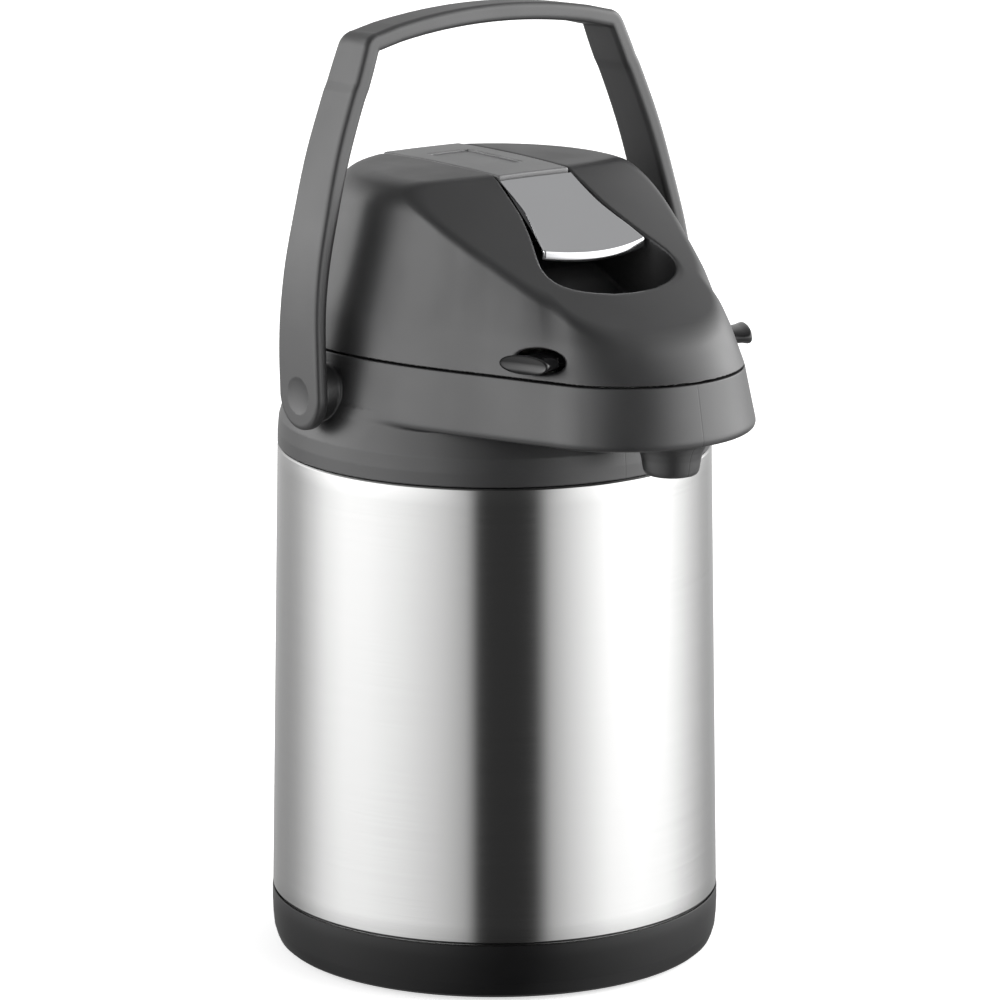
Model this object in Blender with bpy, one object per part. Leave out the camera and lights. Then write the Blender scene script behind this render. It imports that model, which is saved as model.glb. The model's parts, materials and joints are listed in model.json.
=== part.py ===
"""Lever-type thermal coffee airpot, modelled as its separate pieces.

Metres, +Z up.  The pot's axis is the Z axis, the table is z = 0 and the spout points along -Y.
All dimensions below are in millimetres and are scaled by MM when a mesh is made.
"""
import math

import bmesh
import bpy
import numpy as np
from mathutils import Matrix, Vector

for ob in list(bpy.data.objects):
    bpy.data.objects.remove(ob, do_unlink=True)

MM = 0.001
SEG = 40                      # facets round the pot's large turned pieces
GAP = 0.3                     # air between pieces that touch

# ---- pot body
SHELL_R_LOW, SHELL_Z_LOW = 80.3, 21.0     # steel where it drops inside the base's rim
SHELL_R_SKIRT = 80.8                      # visible steel, bottom
SHELL_R_TOP, SHELL_Z_TOP = 77.9, 185.0    # visible steel, top
SHELL_WALL = 0.8
BASE_R, BASE_TOP, BASE_LOW = 81.0, 21.0, 1.2
LINER_R, LINER_WALL = 70.0, 1.2
LINER_LOW, LINER_SHOULDER = 28.0, 158.0
NECK_R, NECK_TOP = 30.5, 200.0            # bore of the flask's mouth

# ---- collar and lid outline
RING_R_LOW, RING_R_TOP, RING_TOP = 77.9, 76.8, 204.6
SEAM_Z, SEAM_GAP = 226.2, 1.0             # joint between collar and lid
BAND_DRAFT = 0.20                         # the band widens downwards
OUTLINE_KEYS = ((0, 117.8), (10, 114.6), (20, 104.6), (25, 96.3), (31, 88.8), (38, 82.2), (47, 76.8),
                (56, 73.4), (67, 70.8), (78, 69.9), (90, 70.3), (110, 70.8), (140, 71.0), (180, 71.0))

# ---- domed lid
TOP_Z, TOP_CROWN = 286.7, 0.0005          # height of the top face and its crown, per mm
FACET_Y, FACET_Z, FACET_SLOPE, FACET_CROWN = -23.5, 285.8, 0.545, 0.0023
BEVEL_R, BEVEL_SLOPE = 48.5, 0.5          # shoulder between top face and side
LID_WALL = 2.8

# ---- lever, its channel in the lid and the finger pocket: (y, half width)
STRIP_FRONT, STRIP_REAR = -23.5, 45.2
STRIP_W_FRONT, STRIP_W_REAR = 15.3, 16.8
PLATE_KEYS = ((-24.9, 15.6), (-33.0, 15.7), (-40.3, 16.4), (-46.2, 18.0), (-52.0, 20.1), (-58.8, 21.9))
PLATE_NOSE = -62.7
POCKET_KEYS = ((48.2, 17.6), (0.0, 16.4), (-23.5, 16.0), (-33.0, 17.2), (-40.3, 18.3), (-46.2, 20.0), (-53.3, 22.4), (-58.0, 24.4),
               (-62.0, 26.2), (-66.5, 27.4), (-70.0, 27.0), (-73.0, 25.0), (-75.6, 21.6), (-78.0, 17.0), (-80.0, 11.6),
               (-81.3, 6.0), (-81.7, 1.5))
CHANNEL_FLOOR, TRAY_WALL = 254.0, 2.2
POCKET_FLOORS = ((-81.7, 251.5), (-77.0, 246.5), (-71.5, 242.6), (-66.0, 240.8), (-61.5, 240.2), (-56.0, 241.6), (-50.0, 244.8),
                 (-45.5, 247.8), (-41.0, 250.6))      # (y, height) of the scooped finger pocket
LEVER_Y, LEVER_Z = 42.0, 279.0            # lever's pivot

# ---- carrying handle
PIVOT_X, PIVOT_Y, PIVOT_Z = 84.0, 1.3, 211.8
HANDLE_LEAN = math.radians(2.9)
HANDLE_KEYS = ((84.0, 0.0), (83.9, 14.0), (83.2, 28.5), (81.2, 43.5), (76.5, 63.5), (70.9, 83.5), (63.4, 103.5), (56.2, 120.6))
HANDLE_CROWN = 130.8                      # top of the crossbar above the pivot
HANDLE_W_LOW = 24.6
HANDLE_WIDTHS = ((0, 24.6), (14, 24.5), (34, 22.9), (54, 21.7), (76, 20.7), (98, 19.8), (114, 19.3), (124, 17.8), (131, 16.4))      # (height, width)
HANDLE_THICKS = ((0, 5.2), (20, 5.2), (50, 5.7), (85, 6.3), (108, 6.4), (124, 6.4), (131, 6.5))                                     # (height, thickness)

# ---- press latches: (distance from the middle plane, half length, half height), and the slant of the lid's side there
LATCH_ROWS = ((26.0, 6.0, 2.6), (35.5, 6.0, 2.6), (38.5, 6.3, 2.6), (42.0, 7.5, 2.7), (46.0, 9.5, 3.15), (47.6, 9.9, 3.5), (48.2, 9.6, 3.3))
LATCH_SLANT = 0.437

# ---- lid hinge at the rear
HINGE_Y, HINGE_Z = 79.5, 222.5


# ------------------------------------------------------------------ helpers
def material(name, colour, roughness, metallic=0.0):
    m = bpy.data.materials.new(name)
    m.use_nodes = True
    b = m.node_tree.nodes["Principled BSDF"]
    b.inputs["Base Color"].default_value = (*colour, 1.0)
    b.inputs["Roughness"].default_value = roughness
    b.inputs["Metallic"].default_value = metallic
    return m


STEEL = ((0.62, 0.62, 0.62), 0.3, 1.0)
CHROME = ((0.75, 0.75, 0.76), 0.08, 1.0)
CHARCOAL = ((0.06, 0.06, 0.062), 0.45, 0.0)
BLACK = ((0.015, 0.015, 0.016), 0.4, 0.0)
GLOSS = ((0.01, 0.01, 0.011), 0.15, 0.0)
WHITE = ((0.8, 0.8, 0.78), 0.5, 0.0)
RUBBER = ((0.03, 0.03, 0.03), 0.8, 0.0)
SILICONE = ((0.75, 0.75, 0.72), 0.6, 0.0)


def group(name, at, parent=None):
    e = bpy.data.objects.new(name, None)
    bpy.context.scene.collection.objects.link(e)
    e.location = Vector(at) * MM - (parent["at"] if parent else Vector((0, 0, 0)))
    if parent:
        e.parent = parent["empty"]
    return {"empty": e, "at": Vector(at) * MM}


def place(name, bm, look, grp, cutter=False, sharp=30):
    """Turns a bmesh in millimetres and world axes into an object under its group's empty."""
    bmesh.ops.remove_doubles(bm, verts=bm.verts, dist=1e-4)
    bmesh.ops.recalc_face_normals(bm, faces=bm.faces)
    if bm.calc_volume(signed=True) < 0:
        bmesh.ops.reverse_faces(bm, faces=bm.faces)
    for v in bm.verts:
        v.co = v.co * MM - grp["at"]
    me = bpy.data.meshes.new(name)
    bm.to_mesh(me)
    bm.free()
    me.shade_smooth()
    me.set_sharp_from_angle(angle=math.radians(sharp))
    ob = bpy.data.objects.new(name, me)
    bpy.context.scene.collection.objects.link(ob)
    ob.parent = grp["empty"]
    if cutter:
        ob.hide_render = True
        ob.display_type = "WIRE"
    else:
        me.materials.append(material(name, *look))
    return ob


def boolean(ob, other, operation="DIFFERENCE"):
    m = ob.modifiers.new(operation.lower(), "BOOLEAN")
    m.operation = operation
    m.object = other
    m.solver = "EXACT"
    return ob


def spun(profile, seg=SEG, closed=True, at=(0, 0, 0), turn=None):
    """A profile of (radius, height) points spun about Z; ends that lie on the axis close it."""
    bm = bmesh.new()
    vs = [bm.verts.new((r, 0, z)) for r, z in profile]
    es = [bm.edges.new((a, b)) for a, b in zip(vs, vs[1:])]
    if closed:
        es.append(bm.edges.new((vs[-1], vs[0])))
    bmesh.ops.spin(bm, geom=vs + es, cent=(0, 0, 0), axis=(0, 0, 1), angle=2 * math.pi, steps=seg, use_merge=True)
    bmesh.ops.remove_doubles(bm, verts=bm.verts, dist=1e-4)
    m = Matrix.Translation(at) @ (turn or Matrix())
    bmesh.ops.transform(bm, matrix=m, verts=bm.verts)
    return bm


def ring(r0, r1, z0, z1, seg=SEG, c=0.0, **kw):
    """A flat ring or tube, with its corners chamfered by c."""
    if c:
        p = [(r1, z1 - c), (r1, z0 + c), (r1 - c, z0), (r0 + c, z0), (r0, z0 + c), (r0, z1 - c), (r0 + c, z1), (r1 - c, z1)]
    else:
        p = [(r1, z1), (r1, z0), (r0, z0), (r0, z1)]
    return spun(p, seg, **kw)


def rod(r, z0, z1, seg=24, c=0.0, **kw):
    p = [(0, z1), (r - c, z1), (r, z1 - c), (r, z0 + c), (r - c, z0), (0, z0)] if c else [(0, z1), (r, z1), (r, z0), (0, z0)]
    return spun(p, seg, closed=False, **kw)


def smooth_keys(keys, x):
    """Cubic interpolation through (x, value) keys, with slopes from the neighbouring keys."""
    k = sorted(keys)
    xs, ys = np.array([a for a, _ in k], float), np.array([b for _, b in k], float)
    d = np.diff(ys) / np.diff(xs)
    m = np.empty_like(ys)
    m[1:-1] = (d[:-1] * np.diff(xs)[1:] + d[1:] * np.diff(xs)[:-1]) / (xs[2:] - xs[:-2])
    m[0], m[-1] = (0.0, 0.0) if xs[0] == 0 else (d[0], d[-1])
    x = np.clip(np.asarray(x, float), xs[0], xs[-1])
    i = np.clip(np.searchsorted(xs, x, side="right") - 1, 0, len(xs) - 2)
    h = xs[i + 1] - xs[i]
    t = (x - xs[i]) / h
    return ((2 * t**3 - 3 * t**2 + 1) * ys[i] + (t**3 - 2 * t**2 + t) * h * m[i]
            + (3 * t**2 - 2 * t**3) * ys[i + 1] + (t**3 - t**2) * h * m[i + 1])


def outline_r(theta):
    """Radius of the seam's outline at an angle from the front, in radians."""
    t = np.abs((np.asarray(theta, float) + math.pi) % (2 * math.pi) - math.pi)
    return smooth_keys(OUTLINE_KEYS, np.degrees(t))


def outline_cos(theta):
    """Cosine of the angle between the outline's normal and the radius."""
    e = 1e-3
    slope = (outline_r(theta + e) - outline_r(theta - e)) / (2 * e) / outline_r(theta)
    return 1 / np.sqrt(1 + slope**2)


def offset_r(theta, d):
    return outline_r(theta) + d / outline_cos(theta)


def skin_inset(theta, h):
    """How far the lid's side has come in at height h over the seam: a steeper lower band, then the side."""
    t = np.degrees(np.abs((np.asarray(theta, float) + math.pi) % (2 * math.pi) - math.pi))
    nose = np.exp(-((t / 17.0) ** 2))
    return (0.20 + 0.60 * nose) * np.minimum(h, 13.0) + (0.30 + 0.60 * nose) * np.maximum(h - 13.0, 0.0)


def smax(a, b, k):
    return np.maximum(a, b) + k * np.maximum(1 - np.abs(a - b) / k, 0) ** 2 / 4


def lid_field(x, y, z, inner=0.0):
    """Negative inside the domed lid; inner moves every face inwards by that much."""
    theta = np.arctan2(x, -y)
    r = np.hypot(x, y)
    c = outline_cos(theta)
    skin = (r - outline_r(theta) + skin_inset(theta, z - SEAM_Z) / c) * c * 0.955
    bevel = (z - (TOP_Z - TOP_CROWN * BEVEL_R**2 - BEVEL_SLOPE * (r - BEVEL_R))) * 0.894
    top = z - (TOP_Z - TOP_CROWN * r * r)
    facet = (z - (FACET_Z - FACET_SLOPE * (FACET_Y - y) - FACET_CROWN * x * x)) * 0.86
    f = smax(smax(skin, bevel, 5.0), smax(top, facet, 0.8), 2.5)
    return f + inner


def dome(inner, z0, rings, seg, lift=0.0):
    """Closed solid under the lid's surface down to z0: rays from a point on the axis find the surface."""
    cy = -14.0
    bm = bmesh.new()
    rows = []
    for i in range(rings):
        phi = math.radians(90.0 * i / rings)
        a = np.arange(seg) * 2 * math.pi / seg
        dx, dy, dz = np.sin(a) * math.cos(phi), -np.cos(a) * math.cos(phi), np.full(seg, math.sin(phi))
        lo, hi = np.zeros(seg), np.full(seg, 190.0)
        for _ in range(40):
            mid = (lo + hi) / 2
            inside = lid_field(dx * mid, cy + dy * mid, z0 + dz * mid, inner) < 0
            lo, hi = np.where(inside, mid, lo), np.where(inside, hi, mid)
        rows.append([bm.verts.new((dx[j] * lo[j], cy + dy[j] * lo[j], z0 + dz[j] * lo[j] - (lift if i == 0 else 0))) for j in range(seg)])
    zt = TOP_Z - inner - TOP_CROWN * cy * cy
    for a, b in zip(rows, rows[1:]):
        for j in range(seg):
            bm.faces.new((a[j], a[(j + 1) % seg], b[(j + 1) % seg], b[j]))
    tip = bm.verts.new((0, cy, zt))
    for j in range(seg):
        bm.faces.new((rows[-1][j], rows[-1][(j + 1) % seg], tip))
    bm.faces.new(list(reversed(rows[0])))
    return bm


def prism(points, z0, z1):
    """Straight walls on a closed plan of (x, y) points."""
    bm = bmesh.new()
    low = [bm.verts.new((x, y, z0)) for x, y in points]
    high = [bm.verts.new((x, y, z1)) for x, y in points]
    n = len(points)
    for i in range(n):
        bm.faces.new((low[i], low[(i + 1) % n], high[(i + 1) % n], high[i]))
    bm.faces.new(list(reversed(low)))
    bm.faces.new(high)
    return bm


def stack(levels):
    """Plans with equal numbers of points, each (z, points), bridged into one closed solid."""
    bm = bmesh.new()
    rows = [[bm.verts.new((x, y, z)) for x, y in pts] for z, pts in levels]
    n = len(rows[0])
    for a, b in zip(rows, rows[1:]):
        for i in range(n):
            bm.faces.new((a[i], a[(i + 1) % n], b[(i + 1) % n], b[i]))
    bm.faces.new(list(reversed(rows[0])))
    bm.faces.new(rows[-1])
    return bm


def plan(d, seg=46):
    """Plan points of the seam's outline moved outwards by d."""
    a = np.arange(seg) * 2 * math.pi / seg
    r = offset_r(a, d)
    return [(r[i] * math.sin(a[i]), -r[i] * math.cos(a[i])) for i in range(seg)]


def channel_plan(grow=0.0, y_from=-90.0, y_to=60.0, step=12):
    """Plan of the lever's channel and the finger pocket between two y values, from its half widths."""
    ys0, ys1 = POCKET_KEYS[-1][0], POCKET_KEYS[0][0]
    lo, hi = max(y_from, ys0), min(y_to, ys1)
    t = np.linspace(0, 1, step)
    y = lo + (hi - lo) * (t**1.7 if lo == ys0 else t)
    w = smooth_keys(POCKET_KEYS, y)
    dw = (smooth_keys(POCKET_KEYS, y + 0.2) - smooth_keys(POCKET_KEYS, y - 0.2)) / 0.4
    ln = np.hypot(1.0, dw)
    y2, w2 = y - grow * dw / ln, w + grow / ln
    if lo == ys0:
        y2[0], w2[0] = ys0 - grow, w[0] + 0.4 * grow
    else:
        y2[0] = lo
    y2[-1] = hi + (grow if hi == ys1 else 0.0)
    right = list(zip(w2.tolist(), y2.tolist()))
    return right + [(-x, yy) for x, yy in reversed(right)]


def scoop(points, drop, top):
    """Straight walls on a symmetric plan, with the pocket's curved floor lowered by drop."""
    bm = bmesh.new()
    half = points[:len(points) // 2]
    rows = []
    for x, y in half:
        z = float(smooth_keys(POCKET_FLOORS, y)) - drop
        rows.append([bm.verts.new(p) for p in ((x, y, z), (x, y, top), (-x, y, top), (-x, y, z))])
    for a, b in zip(rows, rows[1:]):
        for k in range(4):
            bm.faces.new((a[k], a[(k + 1) % 4], b[(k + 1) % 4], b[k]))
    bm.faces.new(rows[0])
    bm.faces.new(rows[-1])
    bmesh.ops.recalc_face_normals(bm, faces=bm.faces)
    return bm


def box(x0, x1, y0, y1, z0, z1, c=0.0):
    bm = bmesh.new()
    bmesh.ops.create_cube(bm, size=1.0)
    bmesh.ops.scale(bm, vec=(x1 - x0, y1 - y0, z1 - z0), verts=bm.verts)
    bmesh.ops.translate(bm, vec=((x0 + x1) / 2, (y0 + y1) / 2, (z0 + z1) / 2), verts=bm.verts)
    if c:
        bmesh.ops.bevel(bm, geom=list(bm.edges), offset=c, segments=1, affect="EDGES")
    return bm


ALONG_X = Matrix.Rotation(math.radians(90), 4, "Y")

# ------------------------------------------------------------------ the groups that move
G_BASE = group("swivel_base", (0, 0, 0))
G_POT = group("pot", (0, 0, 0), G_BASE)
G_HANDLE = group("handle_axis", (0, PIVOT_Y, PIVOT_Z), G_POT)
G_LID = group("lid_axis", (0, HINGE_Y, HINGE_Z), G_POT)
G_LEVER = group("lever_axis", (0, LEVER_Y, LEVER_Z), G_LID)
G_PUMP = group("pump_axis", (0, 0, 250), G_LID)
G_LATCH = {s: group("latch_axis_" + n, (s * 46, -82, 232.5), G_LID) for s, n in ((-1, "left"), (1, "right"))}

# ------------------------------------------------------------------ swivel base
place("foot_pad", rod(62.0, 0.0, 1.2, 40), RUBBER, G_BASE)
place("swivel_foot", spun([(66.0, 4.0), (66.0, 2.4), (64.5, 1.5), (8.0, 1.5), (8.0, 4.0)], 40), BLACK, G_BASE)
place("swivel_glide_ring", ring(50.0, 58.0, 4.3, 6.3, 32), WHITE, G_BASE)

# ------------------------------------------------------------------ pot body
place("base_cup", spun([
    (BASE_R, BASE_TOP), (BASE_R - 0.1, 12.0), (BASE_R - 0.6, 6.5), (BASE_R - 1.7, 3.0),
    (BASE_R - 3.2, BASE_LOW), (68.0, BASE_LOW), (68.0, 6.6), (5.0, 6.6), (5.0, 11.6), (76.5, 11.6),
    (76.5, 17.2), (SHELL_R_LOW + 0.2, 17.2), (SHELL_R_LOW + 0.2, BASE_TOP)]),
    BLACK, G_POT)
place("outer_shell", spun([
    (72.0, 193.2), (74.6, 191.6), (74.6, 185.2), (SHELL_R_TOP - 0.6, 185.2), (SHELL_R_TOP, 184.6), (SHELL_R_SKIRT, SHELL_Z_LOW + 1.3), (SHELL_R_LOW - 0.2, SHELL_Z_LOW + 0.4), (SHELL_R_LOW - 0.2, SHELL_Z_LOW - 3.4),
    (SHELL_R_LOW - 0.2 - SHELL_WALL, SHELL_Z_LOW - 3.4), (SHELL_R_LOW - 0.2 - SHELL_WALL, SHELL_Z_LOW + 0.8), (SHELL_R_SKIRT - SHELL_WALL, SHELL_Z_LOW + 2.2), (SHELL_R_TOP - SHELL_WALL, 184.4), (73.8, 184.4), (73.8, 191.2), (72.0, 192.3)]),
    STEEL, G_POT)
lo, sh = LINER_LOW, LINER_SHOULDER
w = LINER_WALL
place("inner_liner", spun([
    (NECK_R + w, NECK_TOP), (NECK_R + w, 186.0), (52.0, 176.0), (64.0, 168.5), (LINER_R, sh), (LINER_R, lo + 12), (LINER_R - 12, lo), (0, lo),
    (0, lo + w), (LINER_R - 12.3, lo + w), (LINER_R - w, lo + 12.2), (LINER_R - w, sh - 0.3), (63.2, 167.6), (51.4, 174.9), (NECK_R, 185.2), (NECK_R, NECK_TOP)],
    32, closed=True), STEEL, G_POT)
place("flask_support", spun([(60.0, 27.6), (60.0, 12.0), (57.0, 12.0), (57.0, 18.0), (34.0, 24.0), (34.0, 27.6)], 32), WHITE, G_POT)
place("swivel_screw", spun([(0, 15.4), (6.0, 15.4), (8.0, 13.8), (8.0, 13.0), (4.4, 13.0), (4.4, 3.0), (0, 3.0)], 16, closed=False), STEEL, G_POT)
place("swivel_washer", ring(4.8, 10.0, 11.9, 12.7, 24), STEEL, G_POT)

# ------------------------------------------------------------------ collar
depth = SEAM_Z - SEAM_GAP / 2
z_low = RING_TOP - 0.4
edge = BAND_DRAFT * (SEAM_Z - z_low)
collar = place("collar", stack([
    (z_low, plan(edge - 2.6)), (z_low + 1.2, plan(edge - 0.9)), (z_low + 3.4, plan(edge - 0.75)),
    (depth - 0.4, plan(0.1)), (depth, plan(-0.4))]), CHARCOAL, G_POT)
boolean(collar, place("collar_ring_form", spun([(0, 207.0), (73.0, 207.0), (RING_R_TOP - 0.4, 205.4), (RING_R_TOP, RING_TOP), (RING_R_LOW, 185.5), (0, 185.5)], closed=False), None, G_POT, True), "UNION")
for s in (-1, 1):
    boolean(collar, place(f"pivot_boss_form_{s}", spun([(0, 70), (12.5, 70), (11.5, 78.3), (0, 78.3)], 20, closed=False, at=(0, PIVOT_Y, PIVOT_Z), turn=Matrix.Rotation(math.radians(90 * s), 4, "Y")), None, G_POT, True), "UNION")
    boolean(collar, place(f"hinge_lug_form_{s}", stack([
        (HINGE_Z - 17, [(s * 12, 68), (s * 12, 74.0), (s * 22, 74.0), (s * 22, 68)]),
        (HINGE_Z - 4, [(s * 12, 68), (s * 12, HINGE_Y + 4.2), (s * 22, HINGE_Y + 4.2), (s * 22, 68)]),
        (HINGE_Z + 1.2, [(s * 12, 68), (s * 12, HINGE_Y + 4.2), (s * 22, HINGE_Y + 4.2), (s * 22, 68)]),
        (HINGE_Z + 3.1, [(s * 12, 68), (s * 12, HINGE_Y + 2.5), (s * 22, HINGE_Y + 2.5), (s * 22, 68)])][::1]), None, G_POT, True), "UNION")
boolean(collar, place("nozzle_form", spun([(0, 206.0), (14.5, 206.0), (13.4, 203.9), (11.2, 201.6), (10.2, 198.8), (9.4, 193.2), (8.4, 192.0), (0, 192.0)], 20, closed=False, at=(0, -103.6, 0)), None, G_POT, True), "UNION")
# hollows: the well round the flask's mouth, the tray in the beak, the throat over the steel and the bores
boolean(collar, place("collar_well", stack([(207.6, plan(-3.6)), (240.0, plan(-3.6))]), None, G_POT, True))
boolean(collar, place("collar_throat", spun([(0, 240), (60.0, 240), (60.0, 204.5), (56.0, 200.4), (56.0, 197.5), (72.0, 194.2), (74.9, 192.4), (74.9, 180), (0, 180)], closed=False), None, G_POT, True))
boolean(collar, place("nozzle_bore", rod(7.0, 180, 230, 20, at=(0, -103.6, 0)), None, G_POT, True))
for s in (-1, 1):
    boolean(collar, place(f"pivot_bore_{s}", rod(4.4, 60, 90, 16, at=(0, PIVOT_Y, PIVOT_Z), turn=Matrix.Rotation(math.radians(90 * s), 4, "Y")), None, G_POT, True))
boolean(collar, place("hinge_bore", rod(2.0, -30, 30, 16, at=(0, HINGE_Y, HINGE_Z), turn=ALONG_X), None, G_POT, True))

# ------------------------------------------------------------------ stem, dip tube and spout
stem = place("stem_plug", spun([
    (33.0, 218.4), (33.0, 204.0), (36.0, 203.2), (36.0, 200.6), (28.0, 200.6), (28.0, 186.0), (5.7, 186.0), (5.7, 198.5), (9.0, 198.5), (9.0, 201.5), (24.0, 201.5), (26.0, 206.0), (29.0, 218.4)], 24), WHITE, G_POT)
boolean(stem, place("stem_outlet_bore", rod(4.9, 24, 40, 20, at=(0, 0, 212.6), turn=Matrix.Rotation(math.radians(90), 4, "X")), None, G_POT, True))
place("stem_seal", ring(28.3, 30.0, 190.5, 194.0, 32), SILICONE, G_POT)
place("dip_tube", ring(3.4, 5.2, 34.0, 198.0, 20), STEEL, G_POT)
place("dip_tube_tip", spun([(7.2, 45.0), (7.2, 36.0), (6.0, 31.6), (4.2, 31.6), (3.6, 33.6), (5.5, 33.6), (5.5, 45.0)], 16), WHITE, G_POT)


def tube_path(points, r, seg, inner=None):
    """A pipe of round section along a path in the plane x = 0; inner gives it a bore."""
    bm = bmesh.new()
    pts = [Vector((0, y, z)) for y, z in points]
    tang = [(pts[min(i + 1, len(pts) - 1)] - pts[max(i - 1, 0)]).normalized() for i in range(len(pts))]

    def rows(rad):
        out = []
        for p, t in zip(pts, tang):
            n = Vector((0, -t.z, t.y))
            out.append([bm.verts.new(p + Vector((math.cos(a), 0, 0)) * rad + n * math.sin(a) * rad) for a in (2 * math.pi * k / seg for k in range(seg))])
        return out

    outer = rows(r)
    inn = rows(inner) if inner else None
    for rr in (outer, inn) if inn else (outer,):
        for a, b in zip(rr, rr[1:]):
            for k in range(seg):
                bm.faces.new((a[k], a[(k + 1) % seg], b[(k + 1) % seg], b[k]))
    for e in (0, -1):
        if inn:
            for k in range(seg):
                bm.faces.new((outer[e][k], outer[e][(k + 1) % seg], inn[e][(k + 1) % seg], inn[e][k]))
        else:
            bm.faces.new(outer[e])
    return bm


bend = [(-95.0 - 8.6 * math.sin(t), 204.0 + 8.6 * math.cos(t)) for t in (math.radians(a) for a in range(0, 91, 22))]
place("spout_tube", tube_path([(-30.0, 212.6), (-60.0, 212.6)] + bend + [(-103.6, 199.0), (-103.6, 193.0)], 4.5, 12, 3.1), SILICONE, G_POT)
cover_pts = [(x, y) for x, y in plan(-4.1) if y < -66]
place("spout_cover", prism(sorted([p for p in cover_pts], key=lambda p: math.atan2(p[0], -p[1] - 66)), 218.6, 220.0), CHARCOAL, G_POT)

# ------------------------------------------------------------------ pins and handle
for s, side in ((-1, "left"), (1, "right")):
    place("handle_pin_" + side, spun([(0, 63.4), (3.3, 63.4), (3.9, 64.0), (3.9, 80.6), (3.3, 81.2), (0, 81.2)][::-1], 16, closed=False,
                                      at=(0, PIVOT_Y, PIVOT_Z), turn=Matrix.Rotation(math.radians(90 * s), 4, "Y")), BLACK, G_POT)
place("lid_hinge_pin", rod(1.7, -21.5, 21.5, 16, at=(0, HINGE_Y, HINGE_Z), turn=ALONG_X), STEEL, G_POT)


def handle_mesh():
    """The bail: a flat section with rounded corners, lofted up one arm, over the crossbar and down the other."""
    key_z = [(z, x) for x, z in HANDLE_KEYS]
    path = []
    r_end = HANDLE_W_LOW / 2
    low = float(smooth_keys(HANDLE_THICKS, 0))
    for a in (80, 60, 40, 20):
        path.append((HANDLE_KEYS[0][0] - low / 2, -r_end * math.sin(math.radians(a)), HANDLE_W_LOW * math.cos(math.radians(a)), low))
    for z in list(range(0, 112, 12)):
        x = float(smooth_keys(key_z, z))
        e = (float(smooth_keys(key_z, min(z + 1, 120))) - float(smooth_keys(key_z, max(z - 1, 0)))) / (min(z + 1, 120) - max(z - 1, 0))
        n = Vector((1, -e)).normalized()
        thick = float(smooth_keys(HANDLE_THICKS, z))
        path.append((x - n.x * thick / 2, z - n.y * thick / 2, float(smooth_keys(HANDLE_WIDTHS, z)), thick))
    # rounded corner into the arched crossbar
    rad = (53.0**2 + 6.2**2) / 12.4
    top_w = HANDLE_WIDTHS[-1][1]
    corner = []
    for a in np.linspace(25, 83, 4):
        t = math.radians(a)
        thick = float(smooth_keys(HANDLE_THICKS, 118.1 + 7.0 * math.sin(t)))
        corner.append((49.8 + (7.0 - thick / 2) * math.cos(t), 117.9 + (7.0 - thick / 2) * math.sin(t), top_w, thick))
    path += corner
    bar = HANDLE_THICKS[-1][1]
    for x in (36.0, 18.0):
        path.append((x, HANDLE_CROWN - bar / 2 - (rad - math.sqrt(rad * rad - x * x)), top_w, bar))
    path.append((0.0, HANDLE_CROWN - bar / 2, top_w, bar))
    full = path + [(-x, z, wd, th) for x, z, wd, th in reversed(path[:-1])]
    bm = bmesh.new()
    rows = []
    pts = [Vector((x, z)) for x, z, _, _ in full]
    for i, (x, z, wd, th) in enumerate(full):
        t = (pts[min(i + 1, len(pts) - 1)] - pts[max(i - 1, 0)]).normalized()
        n = Vector((t.y, -t.x))            # outwards
        if i < 4 or i >= len(full) - 4:
            n = Vector((1.0, 0.0)) if x > 0 else Vector((-1.0, 0.0))
        h, c = th / 2, 1.3
        hw = wd / 2
        c2 = min(c, hw * 0.5)
        sec = [(h - c, hw), (h, hw - c2), (h, -hw + c2), (h - c, -hw), (-h + c, -hw), (-h, -hw + c2), (-h, hw - c2), (-h + c, hw)]
        rows.append([bm.verts.new((x + n.x * u, v, z + n.y * u)) for u, v in sec])
    for a, b in zip(rows, rows[1:]):
        for k in range(8):
            bm.faces.new((a[k], a[(k + 1) % 8], b[(k + 1) % 8], b[k]))
    bm.faces.new(rows[0])
    bm.faces.new(rows[-1])
    bmesh.ops.rotate(bm, cent=(0, 0, 0), matrix=Matrix.Rotation(-HANDLE_LEAN, 3, "X"), verts=bm.verts)
    bmesh.ops.translate(bm, vec=(0, PIVOT_Y, PIVOT_Z), verts=bm.verts)
    return bm


handle = place("handle", handle_mesh(), CHARCOAL, G_HANDLE)
for s in (-1, 1):
    boolean(handle, place(f"handle_bore_{s}", spun([(0, 76), (4.3, 76), (4.3, 81.6), (0, 81.6)][::-1], 16, closed=False,
                                                    at=(0, PIVOT_Y, PIVOT_Z), turn=Matrix.Rotation(math.radians(90 * s), 4, "Y")), None, G_HANDLE, True))
    boolean(handle, place(f"handle_dimple_{s}", spun([(0, 83.5), (4.0, 83.66), (7.0, 84.02), (7.4, 85.0), (0, 85.0)][::-1], 20, closed=False,
                                                      at=(0, PIVOT_Y, PIVOT_Z), turn=Matrix.Rotation(math.radians(90 * s), 4, "Y")), None, G_HANDLE, True))

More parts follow.
